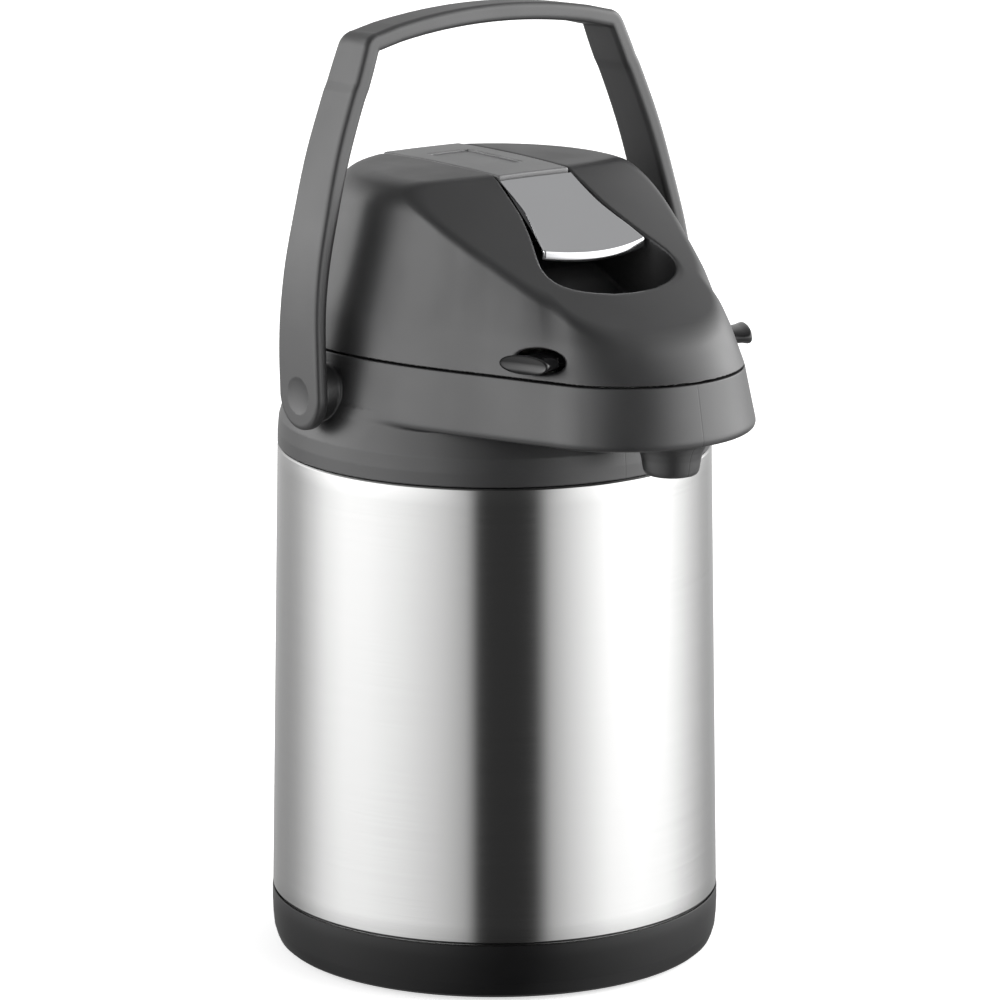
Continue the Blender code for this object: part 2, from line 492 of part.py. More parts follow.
# ------------------------------------------------------------------ lid
lid_z = SEAM_Z + SEAM_GAP / 2
lid = place("lid_cover", dome(0.0, lid_z, 11, 40), CHARCOAL, G_LID)
cavity = place("lid_cavity", dome(LID_WALL, lid_z, 7, 28, lift=3.0), None, G_LID, True)
boolean(cavity, place("tray_channel_form", prism(channel_plan(TRAY_WALL, -46.0), CHANNEL_FLOOR - TRAY_WALL, 300), None, G_LID, True))
boolean(cavity, place("tray_pocket_form", scoop(channel_plan(TRAY_WALL, -90.0, -38.0, 16), TRAY_WALL, 300), None, G_LID, True))
for i, (x, y) in enumerate(((-44, 22), (44, 22), (-36, -52), (36, -52))):
    boolean(cavity, place(f"boss_form_{i}", rod(4.0, 229.0, 300, 16, at=(x, y, 0)), None, G_LID, True))
boolean(lid, cavity)
boolean(lid, place("channel_cut", prism(channel_plan(0.0, -44.0), CHANNEL_FLOOR, 300), None, G_LID, True))
boolean(lid, place("pocket_cut", scoop(channel_plan(0.0, -90.0, -41.0, 16), 0.0, 300), None, G_LID, True))
boolean(lid, place("pump_hole", rod(10.0, 240, 270, 24), None, G_LID, True))
boolean(lid, place("lever_bore", rod(2.3, -22, 22, 16, at=(0, LEVER_Y, LEVER_Z), turn=ALONG_X), None, G_LID, True))
for s in (-1, 1):
    slot = spun([(0, 20), (1, 20), (1, -13.5), (0, -13.5)], 24, closed=False, at=(s * 41.8, -83.6, 232.9),
                turn=Matrix.Rotation(math.radians(-23.6 * s), 4, "Z") @ Matrix.Rotation(math.radians(90 * s), 4, "Y") @ Matrix.Diagonal((4.5, 10.6, 1, 1)))
    boolean(lid, place(f"latch_window_{s}", slot, None, G_LID, True))
for i, (x, y) in enumerate(((-44, 22), (44, 22), (-36, -52), (36, -52))):
    boolean(lid, place(f"boss_bore_{i}", rod(1.9, 220, 243, 12, at=(x, y, 0)), None, G_LID, True))
# hinge knuckle on the rear of the lid
boolean(lid, place("knuckle_form", stack([(z, [(-11.5, y0), (11.5, y0), (11.5, y1), (-11.5, y1)]) for z, y0, y1 in (
    (HINGE_Z - 3.6, HINGE_Y - 2.2, HINGE_Y + 2.2), (HINGE_Z, HINGE_Y - 3.9, HINGE_Y + 3.9), (lid_z - 0.7, HINGE_Y - 4.2, HINGE_Y + 3.8),
    (lid_z + 0.3, 66.0, HINGE_Y + 3.4), (lid_z + 2.5, 66.0, HINGE_Y + 1.0), (lid_z + 9.0, 65.0, 69.0))]), None, G_LID, True), "UNION")
boolean(lid, place("knuckle_bore", rod(2.0, -30, 30, 16, at=(0, HINGE_Y, HINGE_Z), turn=ALONG_X), None, G_LID, True))

# lid base: a pan that closes the lid's underside and reaches just inside the collar's rim
pan = place("lid_base", stack([(221.4, plan(-5.2, 32)), (225.6, plan(-5.2, 32)), (227.8, plan(-8.4, 32))]), WHITE, G_LID)
boolean(pan, place("pan_hollow", stack([(224.0, plan(-10.6, 32)), (234.0, plan(-10.6, 32))]), None, G_LID, True))
boolean(pan, place("pan_seat_form", spun([(39.5, 228.2), (39.5, 223.0), (37.0, 223.0), (37.0, 228.2)], 32), None, G_LID, True), "UNION")
boolean(pan, place("pan_valve_hole", rod(7.0, 210, 230, 24), None, G_LID, True))
for s in (-1, 1):
    boolean(pan, place(f"pan_latch_slot_{s}", box(*sorted((s * 20.5, s * 60)), -92.5, -71.5, 218, 240), None, G_LID, True))
for i, (x, y) in enumerate(((-44, 22), (44, 22), (-36, -52), (36, -52))):
    boolean(pan, place(f"pan_screw_hole_{i}", rod(1.9, 210, 230, 12, at=(x, y, 0)), None, G_LID, True))
    place(f"lid_screw_{i + 1}", spun([(0, 240.0), (1.5, 240.0), (1.5, 221.1), (3.4, 221.1), (3.0, 219.4), (0, 219.4)], 12, closed=False, at=(x, y, 0)), STEEL, G_LID)
place("lid_gasket", ring(27.0, 35.0, 218.8, 221.1, 32), SILICONE, G_LID)
place("check_valve", spun([(9.5, 225.4), (9.5, 224.4), (6.0, 224.3), (6.0, 219.8), (2.5, 219.8), (2.5, 225.4)], 16), SILICONE, G_LID)


def bellows_profile():
    """Zigzag wall of the pump's bellows, from its lower flange to its upper one."""
    z0, z1, folds = 225.9, 245.4, 2
    out = [(36.0, z0)]
    for i in range(folds):
        a = z0 + 1.6 + (z1 - z0 - 3.2) * (i + 0.25) / folds
        b = z0 + 1.6 + (z1 - z0 - 3.2) * (i + 0.75) / folds
        out += [(30.0, a), (36.0, b)]
    out += [(34.0, z1)]
    inn = [(r - 1.1, z) for r, z in out]
    return out[::-1] + inn


place("bellows", spun(bellows_profile(), 24), SILICONE, G_LID)
place("bellows_ring", ring(31.8, 36.6, 224.3, 225.6, 32), WHITE, G_LID)


def coil(r, wire, z0, z1, turns, per=14, sec=6, at=(0, 0, 0), turn=None):
    """A round-wire compression spring."""
    bm = bmesh.new()
    rows = []
    n = int(turns * per)
    for i in range(n + 1):
        a = 2 * math.pi * i / per
        z = z0 + wire + (z1 - z0 - 2 * wire) * i / n
        row = []
        for k in range(sec):
            b = 2 * math.pi * k / sec
            rr = r + wire * math.cos(b)
            row.append(bm.verts.new((rr * math.cos(a), rr * math.sin(a), z + wire * math.sin(b))))
        rows.append(row)
    for p, q in zip(rows, rows[1:]):
        for k in range(sec):
            bm.faces.new((p[k], p[(k + 1) % sec], q[(k + 1) % sec], q[k]))
    bm.faces.new(rows[0])
    bm.faces.new(rows[-1])
    bmesh.ops.transform(bm, matrix=Matrix.Translation(at) @ (turn or Matrix()), verts=bm.verts)
    return bm


place("bellows_spring", coil(20.0, 0.9, 224.6, 245.2, 3.0, 10, 4), STEEL, G_LID)
place("lever_pin", rod(2.0, -21.0, 21.0, 16, at=(0, LEVER_Y, LEVER_Z), turn=ALONG_X), STEEL, G_LID)

# ------------------------------------------------------------------ pump plate
place("pump_plate", spun([(0, 266.4), (5.0, 266.4), (6.0, 265.4), (6.0, 251.5), (9.0, 248.8), (32.0, 248.8), (34.5, 247.8), (34.5, 245.7), (0, 245.7)], 28, closed=False), WHITE, G_PUMP)

# ------------------------------------------------------------------ lever


def strip_w(y):
    return STRIP_W_FRONT + (STRIP_W_REAR - STRIP_W_FRONT) * (y - STRIP_FRONT) / (STRIP_REAR - STRIP_FRONT)


def top_z(x, y):
    return TOP_Z - TOP_CROWN * (x * x + y * y)


def plate_z(x, y):
    return FACET_Z - FACET_SLOPE * (FACET_Y - y) - 0.0006 * x * x - 0.3


def slab(ys, half, upper, lower, nx=5):
    """A solid between two surfaces over a plan given by its half width at each y."""
    bm = bmesh.new()
    grid = []
    for y in ys:
        hw = half(y)
        row = []
        for i in range(nx):
            x = hw * (2 * i / (nx - 1) - 1)
            yy = y(x) if callable(y) else y
            row.append((bm.verts.new((x, yy, upper(x, yy))), bm.verts.new((x, yy, lower(x, yy)))))
        grid.append(row)
    for a, b in zip(grid, grid[1:]):
        for i in range(nx - 1):
            bm.faces.new((a[i][0], a[i + 1][0], b[i + 1][0], b[i][0]))
            bm.faces.new((a[i][1], b[i][1], b[i + 1][1], a[i + 1][1]))
        bm.faces.new((a[0][0], b[0][0], b[0][1], a[0][1]))
        bm.faces.new((a[-1][0], a[-1][1], b[-1][1], b[-1][0]))
    for row in (grid[0], grid[-1]):
        for i in range(nx - 1):
            bm.faces.new((row[i][0], row[i][1], row[i + 1][1], row[i + 1][0]))
    return bm


arm = place("lever_arm", slab(list(np.linspace(STRIP_FRONT, STRIP_REAR, 9)), strip_w, top_z, lambda x, y: top_z(x, y) - 3.0), CHARCOAL, G_LEVER)
tongue_keys = tuple((y, wd - 2.6) for y, wd in PLATE_KEYS)
boolean(arm, place("tongue_form", slab(list(np.linspace(-58.0, -14.0, 9)), lambda y: float(smooth_keys(tongue_keys, y)) if y < -24.9 else 13.0,
                                        lambda x, y: min(plate_z(x, y) - 2.6, top_z(x, y) - 1.5), lambda x, y: min(plate_z(x, y) - 5.0, top_z(x, y) - 4.4)), None, G_LEVER, True), "UNION")
boolean(arm, place("barrel_form", rod(4.0, -15.8, 15.8, 20, at=(0, LEVER_Y, LEVER_Z), turn=ALONG_X), None, G_LEVER, True), "UNION")
boolean(arm, place("web_form", box(-15.8, 15.8, LEVER_Y - 3.0, LEVER_Y + 2.6, LEVER_Z, 284.6), None, G_LEVER, True), "UNION")
boolean(arm, place("push_boss_form", spun([(0, 284.4), (6.0, 284.4), (4.0, 267.6), (3.0, 267.3), (0, 267.3)], 16, closed=False), None, G_LEVER, True), "UNION")
for s in (-1, 1):
    boolean(arm, place(f"rib_form_{s}", box(*sorted((s * 10.5, s * 12.5)), -16.0, LEVER_Y, 277.5, 284.4), None, G_LEVER, True), "UNION")
boolean(arm, place("arm_bore", rod(2.3, -22, 22, 16, at=(0, LEVER_Y, LEVER_Z), turn=ALONG_X), None, G_LEVER, True))
boolean(arm, place("label_recess", stack([(285.9, [(-8.1, -6.1), (8.1, -6.1), (8.9, 28.9), (-8.9, 28.9)]), (290, [(-8.1, -6.1), (8.1, -6.1), (8.9, 28.9), (-8.9, 28.9)])]), None, G_LEVER, True))
for i, y in enumerate((-33.0, -47.0)):
    zt = float(plate_z(0, y)) - 2.6
    boolean(arm, place(f"tongue_hole_{i}", rod(1.6, zt - 8, zt + 4, 12, at=(0, y, 0)), None, G_LEVER, True))
    place(f"lever_screw_{i + 1}", spun([(0, zt + 0.4), (1.2, zt + 0.4), (1.2, zt - 4.4), (2.8, zt - 4.4), (2.4, zt - 5.8), (0, zt - 5.8)], 12, closed=False, at=(0, y, 0)), STEEL, G_LEVER)


def plate_mesh():
    """Bright finger plate: a curved skin whose front edge bows forward and turns down into a lip."""
    bm = bmesh.new()
    ys = list(np.linspace(-24.9, -58.8, 9))
    nx = 9

    def shell(drop, lip):
        rows = []
        for k, y in enumerate(ys):
            hw = float(smooth_keys(PLATE_KEYS, y))
            bow = (PLATE_NOSE + 58.8) * (k / (len(ys) - 1)) ** 2
            row = []
            for i in range(nx):
                u = 2 * i / (nx - 1) - 1
                x = (hw - (0.9 if drop else 0.0)) * u
                yy = y + bow * (1 - u * u)
                row.append(bm.verts.new((x, yy, plate_z(x, yy) - drop)))
            rows.append(row)
        front = []
        for i in range(nx):
            u = 2 * i / (nx - 1) - 1
            x = (21.9 - (0.9 if drop else 0.0)) * u
            yy = -58.8 + (PLATE_NOSE + 58.8) * (1 - u * u) - (0.7 if not drop else -0.7)
            front.append((x, yy))
        for dz in ((0.9,), (lip,)) if not drop else ((lip,),):
            rows.append([bm.verts.new((x, yy if dz[0] > 1 else yy + 0.0, plate_z(x, yy) - dz[0])) for x, yy in front])
        return rows

    up, down = shell(0.0, 3.8), shell(1.5, 3.8)
    for rows in (up, down):
        for a, b in zip(rows, rows[1:]):
            for i in range(nx - 1):
                bm.faces.new((a[i], a[i + 1], b[i + 1], b[i]))
    # rear edge, the lip's lower edge and the two sides
    for i in range(nx - 1):
        bm.faces.new((up[0][i], up[0][i + 1], down[0][i + 1], down[0][i]))
        bm.faces.new((up[-1][i], up[-1][i + 1], down[-1][i + 1], down[-1][i]))
    for e in (0, -1):
        loop = [r[e] for r in up] + [r[e] for r in reversed(down)]
        n, m = len(up), len(down)
        for k in range(m - 1):
            if k < m - 2:
                bm.faces.new((up[k][e], up[k + 1][e], down[k + 1][e], down[k][e]))
        bm.faces.new((up[m - 2][e], up[m - 1][e], up[m][e], down[m - 1][e], down[m - 2][e]))
    return bm


place("lever_plate", plate_mesh(), CHROME, G_LEVER)

# ------------------------------------------------------------------ latches
def latch_rows(s, count):
    """Sections of the press tab: straight stem inwards, flange outwards that follows the slant of the lid's side."""
    out = []
    for x, hy, hz in LATCH_ROWS:
        k = min(1.0, max(0.0, (x - 36.0) / 5.5))
        k = k * k * (3 - 2 * k)
        row = []
        for i in range(count):
            a = 2 * math.pi * i / count
            dy = hy * math.copysign(abs(math.cos(a)) ** 0.75, math.cos(a))
            dz = hz * math.copysign(abs(math.sin(a)) ** 0.85, math.sin(a))
            cy = -82.0 - 1.6 * k
            row.append((s * (x + k * LATCH_SLANT * dy), cy + dy, 232.6 + dz))
        out.append(row)
    return out


for s, side in ((-1, "left"), (1, "right")):
    g = G_LATCH[s]
    turn = Matrix.Rotation(math.radians(90 * s), 4, "Y")
    pad = bmesh.new()
    rows = [[pad.verts.new(p) for p in row] for row in latch_rows(s, 20)]
    for a, b in zip(rows, rows[1:]):
        for k in range(20):
            pad.faces.new((a[k], a[(k + 1) % 20], b[(k + 1) % 20], b[k]))
    pad.faces.new(rows[0])
    pad.faces.new(rows[-1])
    tab = place("latch_" + side, pad, GLOSS, g)
    boolean(tab, place(f"latch_hook_form_{s}", box(*sorted((s * 26.0, s * 29.0)), -88.0, -76.0, 222.5, 233.0, 0.3), None, g, True), "UNION")
    place("latch_spring_" + side, coil(2.4, 0.35, 18.2, 25.7, 3, 8, 4, at=(0, -82, 232.5), turn=turn), STEEL, G_LID)
boolean(pan, place("spring_post_form", box(-17.9, 17.9, -86, -78, 222.5, 235.6), None, G_LID, True), "UNION")
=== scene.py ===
"""Looks of the lever airpot: fine surfaces, materials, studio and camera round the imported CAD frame."""
import json
import math

import bmesh
import bpy
import numpy as np
from mathutils import Matrix, Vector


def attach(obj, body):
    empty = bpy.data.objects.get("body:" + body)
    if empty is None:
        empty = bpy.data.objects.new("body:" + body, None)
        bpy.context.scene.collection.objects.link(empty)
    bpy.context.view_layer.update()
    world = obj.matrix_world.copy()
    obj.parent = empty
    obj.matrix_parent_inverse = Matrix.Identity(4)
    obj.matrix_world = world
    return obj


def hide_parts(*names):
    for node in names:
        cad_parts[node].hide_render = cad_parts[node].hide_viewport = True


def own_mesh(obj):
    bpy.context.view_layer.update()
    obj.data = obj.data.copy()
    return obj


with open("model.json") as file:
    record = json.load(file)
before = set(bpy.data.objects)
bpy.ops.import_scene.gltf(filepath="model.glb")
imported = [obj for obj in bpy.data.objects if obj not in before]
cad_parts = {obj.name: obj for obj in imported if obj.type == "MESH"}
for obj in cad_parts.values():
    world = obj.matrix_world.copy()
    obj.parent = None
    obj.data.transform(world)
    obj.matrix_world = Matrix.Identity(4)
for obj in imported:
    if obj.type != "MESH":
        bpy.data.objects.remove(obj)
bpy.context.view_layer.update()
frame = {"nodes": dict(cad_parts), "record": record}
MM = 0.001

# ------------------------------------------------------------------ dimensions, mm
SEAM_Z, SEAM_GAP, BAND_DRAFT = 226.2, 1.0, 0.20
OUTLINE_KEYS = ((0, 117.8), (10, 114.6), (20, 104.6), (25, 96.3), (31, 88.8), (38, 82.2), (47, 76.8),
                (56, 73.4), (67, 70.8), (78, 69.9), (90, 70.3), (110, 70.8), (140, 71.0), (180, 71.0))
TOP_Z, TOP_CROWN = 286.7, 0.0005
FACET_Y, FACET_Z, FACET_SLOPE, FACET_CROWN = -23.5, 285.8, 0.545, 0.0023
BEVEL_R, BEVEL_SLOPE = 48.5, 0.5
LID_WALL = 2.8
STRIP_FRONT, STRIP_REAR, STRIP_W_FRONT, STRIP_W_REAR = -23.5, 45.2, 15.3, 16.8
PLATE_KEYS = ((-24.9, 15.6), (-33.0, 15.7), (-40.3, 16.4), (-46.2, 18.0), (-52.0, 20.1), (-58.8, 21.9))
PLATE_NOSE = -62.7
POCKET_KEYS = ((48.2, 17.6), (0.0, 16.4), (-23.5, 16.0), (-33.0, 17.2), (-40.3, 18.3), (-46.2, 20.0), (-53.3, 22.4), (-58.0, 24.4),
               (-62.0, 26.2), (-66.5, 27.4), (-70.0, 27.0), (-73.0, 25.0), (-75.6, 21.6), (-78.0, 17.0), (-80.0, 11.6),
               (-81.3, 6.0), (-81.7, 1.5))
CHANNEL_FLOOR, TRAY_WALL = 254.0, 2.2
LEVER_Y, LEVER_Z = 42.0, 279.0
PIVOT_Y, PIVOT_Z = 1.3, 211.8
HANDLE_LEAN = math.radians(2.9)
HANDLE_KEYS = ((84.0, 0.0), (83.9, 14.0), (83.2, 28.5), (81.2, 43.5), (76.5, 63.5), (70.9, 83.5), (63.4, 103.5), (56.2, 120.6))
HANDLE_CROWN = 130.8
HANDLE_WIDTHS = ((0, 24.6), (14, 24.5), (34, 22.9), (54, 21.7), (76, 20.7), (98, 19.8), (114, 19.3), (124, 17.8), (131, 16.4))
HANDLE_THICKS = ((0, 5.2), (20, 5.2), (50, 5.7), (85, 6.3), (108, 6.4), (124, 6.4), (131, 6.5))
LATCH_ROWS = ((26.0, 6.0, 2.6), (35.5, 6.0, 2.6), (38.5, 6.3, 2.6), (42.0, 7.2, 2.65), (45.4, 8.2, 2.85), (46.8, 8.55, 3.15), (47.7, 8.7, 3.35), (48.1, 8.65, 3.35), (48.25, 8.5, 3.25))
LATCH_SLANT = 0.437
HINGE_Y, HINGE_Z = 79.5, 222.5


# ------------------------------------------------------------------ shape functions
def smooth_keys(keys, x):
    k = sorted(keys)
    xs, ys = np.array([a for a, _ in k], float), np.array([b for _, b in k], float)
    d = np.diff(ys) / np.diff(xs)
    m = np.empty_like(ys)
    m[1:-1] = (d[:-1] * np.diff(xs)[1:] + d[1:] * np.diff(xs)[:-1]) / (xs[2:] - xs[:-2])
    m[0], m[-1] = (0.0, 0.0) if xs[0] == 0 else (d[0], d[-1])
    x = np.clip(np.asarray(x, float), xs[0], xs[-1])
    i = np.clip(np.searchsorted(xs, x, side="right") - 1, 0, len(xs) - 2)
    h = xs[i + 1] - xs[i]
    t = (x - xs[i]) / h
    return ((2 * t**3 - 3 * t**2 + 1) * ys[i] + (t**3 - 2 * t**2 + t) * h * m[i]
            + (3 * t**2 - 2 * t**3) * ys[i + 1] + (t**3 - t**2) * h * m[i + 1])


def outline_r(theta):
    t = np.abs((np.asarray(theta, float) + math.pi) % (2 * math.pi) - math.pi)
    return smooth_keys(OUTLINE_KEYS, np.degrees(t))


def outline_cos(theta):
    e = 2e-2
    slope = (outline_r(theta + e) - outline_r(theta - e)) / (2 * e) / outline_r(theta)
    return 1 / np.sqrt(1 + slope**2)


def offset_r(theta, d):
    return outline_r(theta) + d / outline_cos(theta)


def skin_inset(theta, h):
    t = np.degrees(np.abs((np.asarray(theta, float) + math.pi) % (2 * math.pi) - math.pi))
    nose = np.exp(-((t / 17.0) ** 2))
    low = 13.0 + (h - 13.0 - np.logaddexp(0, (h - 13.0) / 0.9) * 0.9)     # min(h, 13) with a soft corner
    return (0.20 + 0.60 * nose) * low + (0.30 + 0.60 * nose) * (h - low)


def smax(a, b, k):
    return np.maximum(a, b) + k * np.maximum(1 - np.abs(a - b) / k, 0) ** 2 / 4


def smin(a, b, k):
    return -smax(-a, -b, k)


def ease(a, b, x):
    t = np.clip((x - a) / (b - a), 0, 1)
    return t * t * (3 - 2 * t)


def poly_sd(u, v, pts):
    """Signed distance to a closed polygon, negative inside."""
    shape = np.broadcast(u, v).shape
    d = np.full(shape, 1e18)
    inside = np.zeros(shape, bool)
    for (x0, y0), (x1, y1) in zip(pts, pts[1:] + pts[:1]):
        ex, ey = x1 - x0, y1 - y0
        wx, wy = u - x0, v - y0
        t = np.clip((wx * ex + wy * ey) / (ex * ex + ey * ey), 0, 1)
        d = np.minimum(d, (wx - ex * t) ** 2 + (wy - ey * t) ** 2)
        if ey:
            inside ^= ((v >= min(y0, y1)) & (v < max(y0, y1))) & (u < x0 + wy * ex / ey)
    return np.where(inside, -1.0, 1.0) * np.sqrt(d)


def line_sd(u, v, pts):
    """Distance to an open line of points."""
    d = np.full(np.broadcast(u, v).shape, 1e18)
    for (x0, y0), (x1, y1) in zip(pts, pts[1:]):
        ex, ey = x1 - x0, y1 - y0
        wx, wy = u - x0, v - y0
        t = np.clip((wx * ex + wy * ey) / (ex * ex + ey * ey), 0, 1)
        d = np.minimum(d, (wx - ex * t) ** 2 + (wy - ey * t) ** 2)
    return np.sqrt(d)


# ------------------------------------------------------------------ meshes
def finish_mesh(name, verts, faces, material, body, nodes, normals=None, sharp=None):
    me = bpy.data.meshes.new(name)
    v = np.asarray(verts, float) * MM
    if isinstance(faces, np.ndarray) and faces.ndim == 2:
        n, k = faces.shape
        me.vertices.add(len(v))
        me.vertices.foreach_set("co", v.astype(np.float32).ravel())
        me.loops.add(n * k)
        me.loops.foreach_set("vertex_index", faces.astype(np.int32).ravel())
        me.polygons.add(n)
        me.polygons.foreach_set("loop_start", np.arange(0, n * k, k, dtype=np.int32))
        me.update(calc_edges=True)
        me.validate()
    else:
        me.from_pydata([tuple(p) for p in v], [], [tuple(f) for f in faces])
        me.update()
    me.shade_smooth()
    if sharp is not None:
        me.set_sharp_from_angle(angle=math.radians(sharp))
    if normals is not None:
        me.normals_split_custom_set_from_vertices([tuple(n) for n in normals])
    ob = bpy.data.objects.new(name, me)
    bpy.context.scene.collection.objects.link(ob)
    me.materials.append(material)
    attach(ob, body)
    if nodes:
        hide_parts(*nodes)
    return ob


def nets(field, lo, hi, step, polish=3, fine=None):
    """Surface of field = 0 on a grid: (points, quads, normals), all in mm. Each (low, high, step) of fine makes thinner layers there."""
    ax = [np.arange(lo[i], hi[i] + step, step) for i in range(3)]
    if fine:
        parts, at = [], lo[2]
        for a, b, thin in fine:
            parts += [np.arange(at, a - 0.25 * step, step), np.arange(a, b - 0.25 * thin, thin)]
            at = b
        ax[2] = np.concatenate(parts + [np.arange(at, hi[2] + step, step)])
    shape = tuple(len(a) for a in ax)
    F = np.broadcast_to(field(ax[0][:, None, None], ax[1][None, :, None], ax[2][None, None, :]), shape)
    S = F < 0
    c = [S[i:shape[0] - 1 + i, j:shape[1] - 1 + j, k:shape[2] - 1 + k] for i in (0, 1) for j in (0, 1) for k in (0, 1)]
    some, every = c[0].copy(), c[0].copy()
    for q in c[1:]:
        some |= q
        every &= q
    ijk = np.argwhere(some & ~every)
    index = np.full(some.shape, -1, np.int64)
    index[tuple(ijk.T)] = np.arange(len(ijk))
    total, count = np.zeros((len(ijk), 3)), np.zeros(len(ijk))
    for axis in range(3):
        o1, o2 = [a for a in range(3) if a != axis]
        for p in (0, 1):
            for q in (0, 1):
                a = ijk.copy()
                a[:, o1] += p
                a[:, o2] += q
                b = a.copy()
                b[:, axis] += 1
                fa, fb = F[tuple(a.T)], F[tuple(b.T)]
                hit = (fa < 0) != (fb < 0)
                t = np.where(hit, fa / np.where(hit, fa - fb, 1), 0)
                pos = a.astype(float)
                pos[:, axis] += t
                total[hit] += pos[hit]
                count[hit] += 1
    P = total / count[:, None]
    P = np.stack([np.interp(P[:, i], np.arange(len(ax[i])), ax[i]) for i in range(3)], 1)
    quads = []
    for axis in range(3):
        o1, o2 = (axis + 1) % 3, (axis + 2) % 3
        a = np.take(S, range(shape[axis] - 1), axis)
        b = np.take(S, range(1, shape[axis]), axis)
        e = np.argwhere(a != b)
        e = e[(e[:, o1] > 0) & (e[:, o2] > 0) & (e[:, o1] < shape[o1] - 1) & (e[:, o2] < shape[o2] - 1)]
        flip = ~a[tuple(e.T)]
        cells = []
        for p, q in ((1, 1), (0, 1), (0, 0), (1, 0)):
            k = e.copy()
            k[:, o1] -= p
            k[:, o2] -= q
            cells.append(index[tuple(k.T)])
        quad = np.stack(cells, 1)
        quad[flip] = quad[flip][:, ::-1]
        quads.append(quad)
    quads = np.concatenate(quads)
    eps = 0.04

    def gradient(p):
        g = np.empty_like(p)
        for i in range(3):
            d = np.zeros(3)
            d[i] = eps
            hi_, lo_ = p + d, p - d
            g[:, i] = (field(*hi_.T) - field(*lo_.T)) / (2 * eps)
        return g

    for _ in range(polish):
        g = gradient(P)
        move = -field(*P.T)[:, None] * g / np.maximum((g**2).sum(1), 0.05)[:, None]
        ln = np.linalg.norm(move, axis=1)
        P = P + move * np.minimum(1, 0.5 * step / np.maximum(ln, 1e-9))[:, None]
    g = gradient(P)
    return P, quads, g / np.maximum(np.linalg.norm(g, axis=1), 1e-9)[:, None]


def rounded(pts, r, n=3):
    """A closed profile with each corner rounded to radius r where its sides allow."""
    out = []
    m = len(pts)
    for i in range(m):
        p0, p1, p2 = (np.array(pts[(i + k) % m], float) for k in (-1, 0, 1))
        if p1[0] < 1e-6:
            out.append(tuple(p1))
            continue
        a, b = p0 - p1, p2 - p1
        la, lb = np.linalg.norm(a), np.linalg.norm(b)
        a, b = a / la, b / lb
        half = math.acos(float(np.clip(a @ b, -1, 1))) / 2
        if half > math.radians(86):
            out.append(tuple(p1))
            continue
        cut = min(r / math.tan(half), 0.45 * la, 0.45 * lb)
        rr = cut * math.tan(half)
        mid = (a + b) / np.linalg.norm(a + b)
        centre = p1 + mid * rr / math.sin(half)
        s, e = p1 + a * cut - centre, p1 + b * cut - centre
        ang = math.pi - 2 * half
        for k in range(n + 1):
            t = k / n
            w = (math.sin((1 - t) * ang) * s + math.sin(t * ang) * e) / math.sin(ang) if ang > 1e-6 else s
            out.append(tuple(centre + w))
    return out


def revolve(profile, seg=96, at=(0, 0, 0), turn=None, r=0.0, n=3, spacing=None):
    """A closed profile of (radius, height) turned about Z; points on the axis become one point."""
    pts = rounded(profile, r, n) if r else list(profile)
    if spacing:
        fine = []
        for a, b in zip(pts, pts[1:] + pts[:1]):
            k = max(1, int(math.hypot(b[0] - a[0], b[1] - a[1]) / spacing))
            fine += [(a[0] + (b[0] - a[0]) * i / k, a[1] + (b[1] - a[1]) * i / k) for i in range(k)]
        pts = fine
    verts, rows = [], []
    ang = np.arange(seg) * 2 * math.pi / seg
    for rad, z in pts:
        if rad < 1e-6:
            rows.append([len(verts)] * seg)
            verts.append((0, 0, z))
        else:
            rows.append(list(range(len(verts), len(verts) + seg)))
            verts += [(rad * math.cos(a), rad * math.sin(a), z) for a in ang]
    faces = []
    m = len(rows)
    for i in range(m):
        p, q = rows[i], rows[(i + 1) % m]
        if p[0] == p[1] and q[0] == q[1]:
            continue
        for j in range(seg):
            k = (j + 1) % seg
            f = [p[j], p[k], q[k], q[j]]
            f = [v for t, v in enumerate(f) if v != f[t - 1]]
            faces.append(f)
    area = sum(a[0] * b[1] - b[0] * a[1] for a, b in zip(pts, pts[1:] + pts[:1]))
    if area > 0:
        faces = [f[::-1] for f in faces]
    m4 = Matrix.Translation(at) @ (turn or Matrix())
    v = np.array(verts) @ np.array(m4.to_3x3()).T + np.array(m4.translation)
    return v, faces


def grid_faces(n, m, wrap=True):
    """Quads of n rows with m points each."""
    i, j = np.meshgrid(np.arange(n - 1), np.arange(m if wrap else m - 1), indexing="ij")
    k = (j + 1) % m
    return np.stack([i * m + j, i * m + k, (i + 1) * m + k, (i + 1) * m + j], -1).reshape(-1, 4)


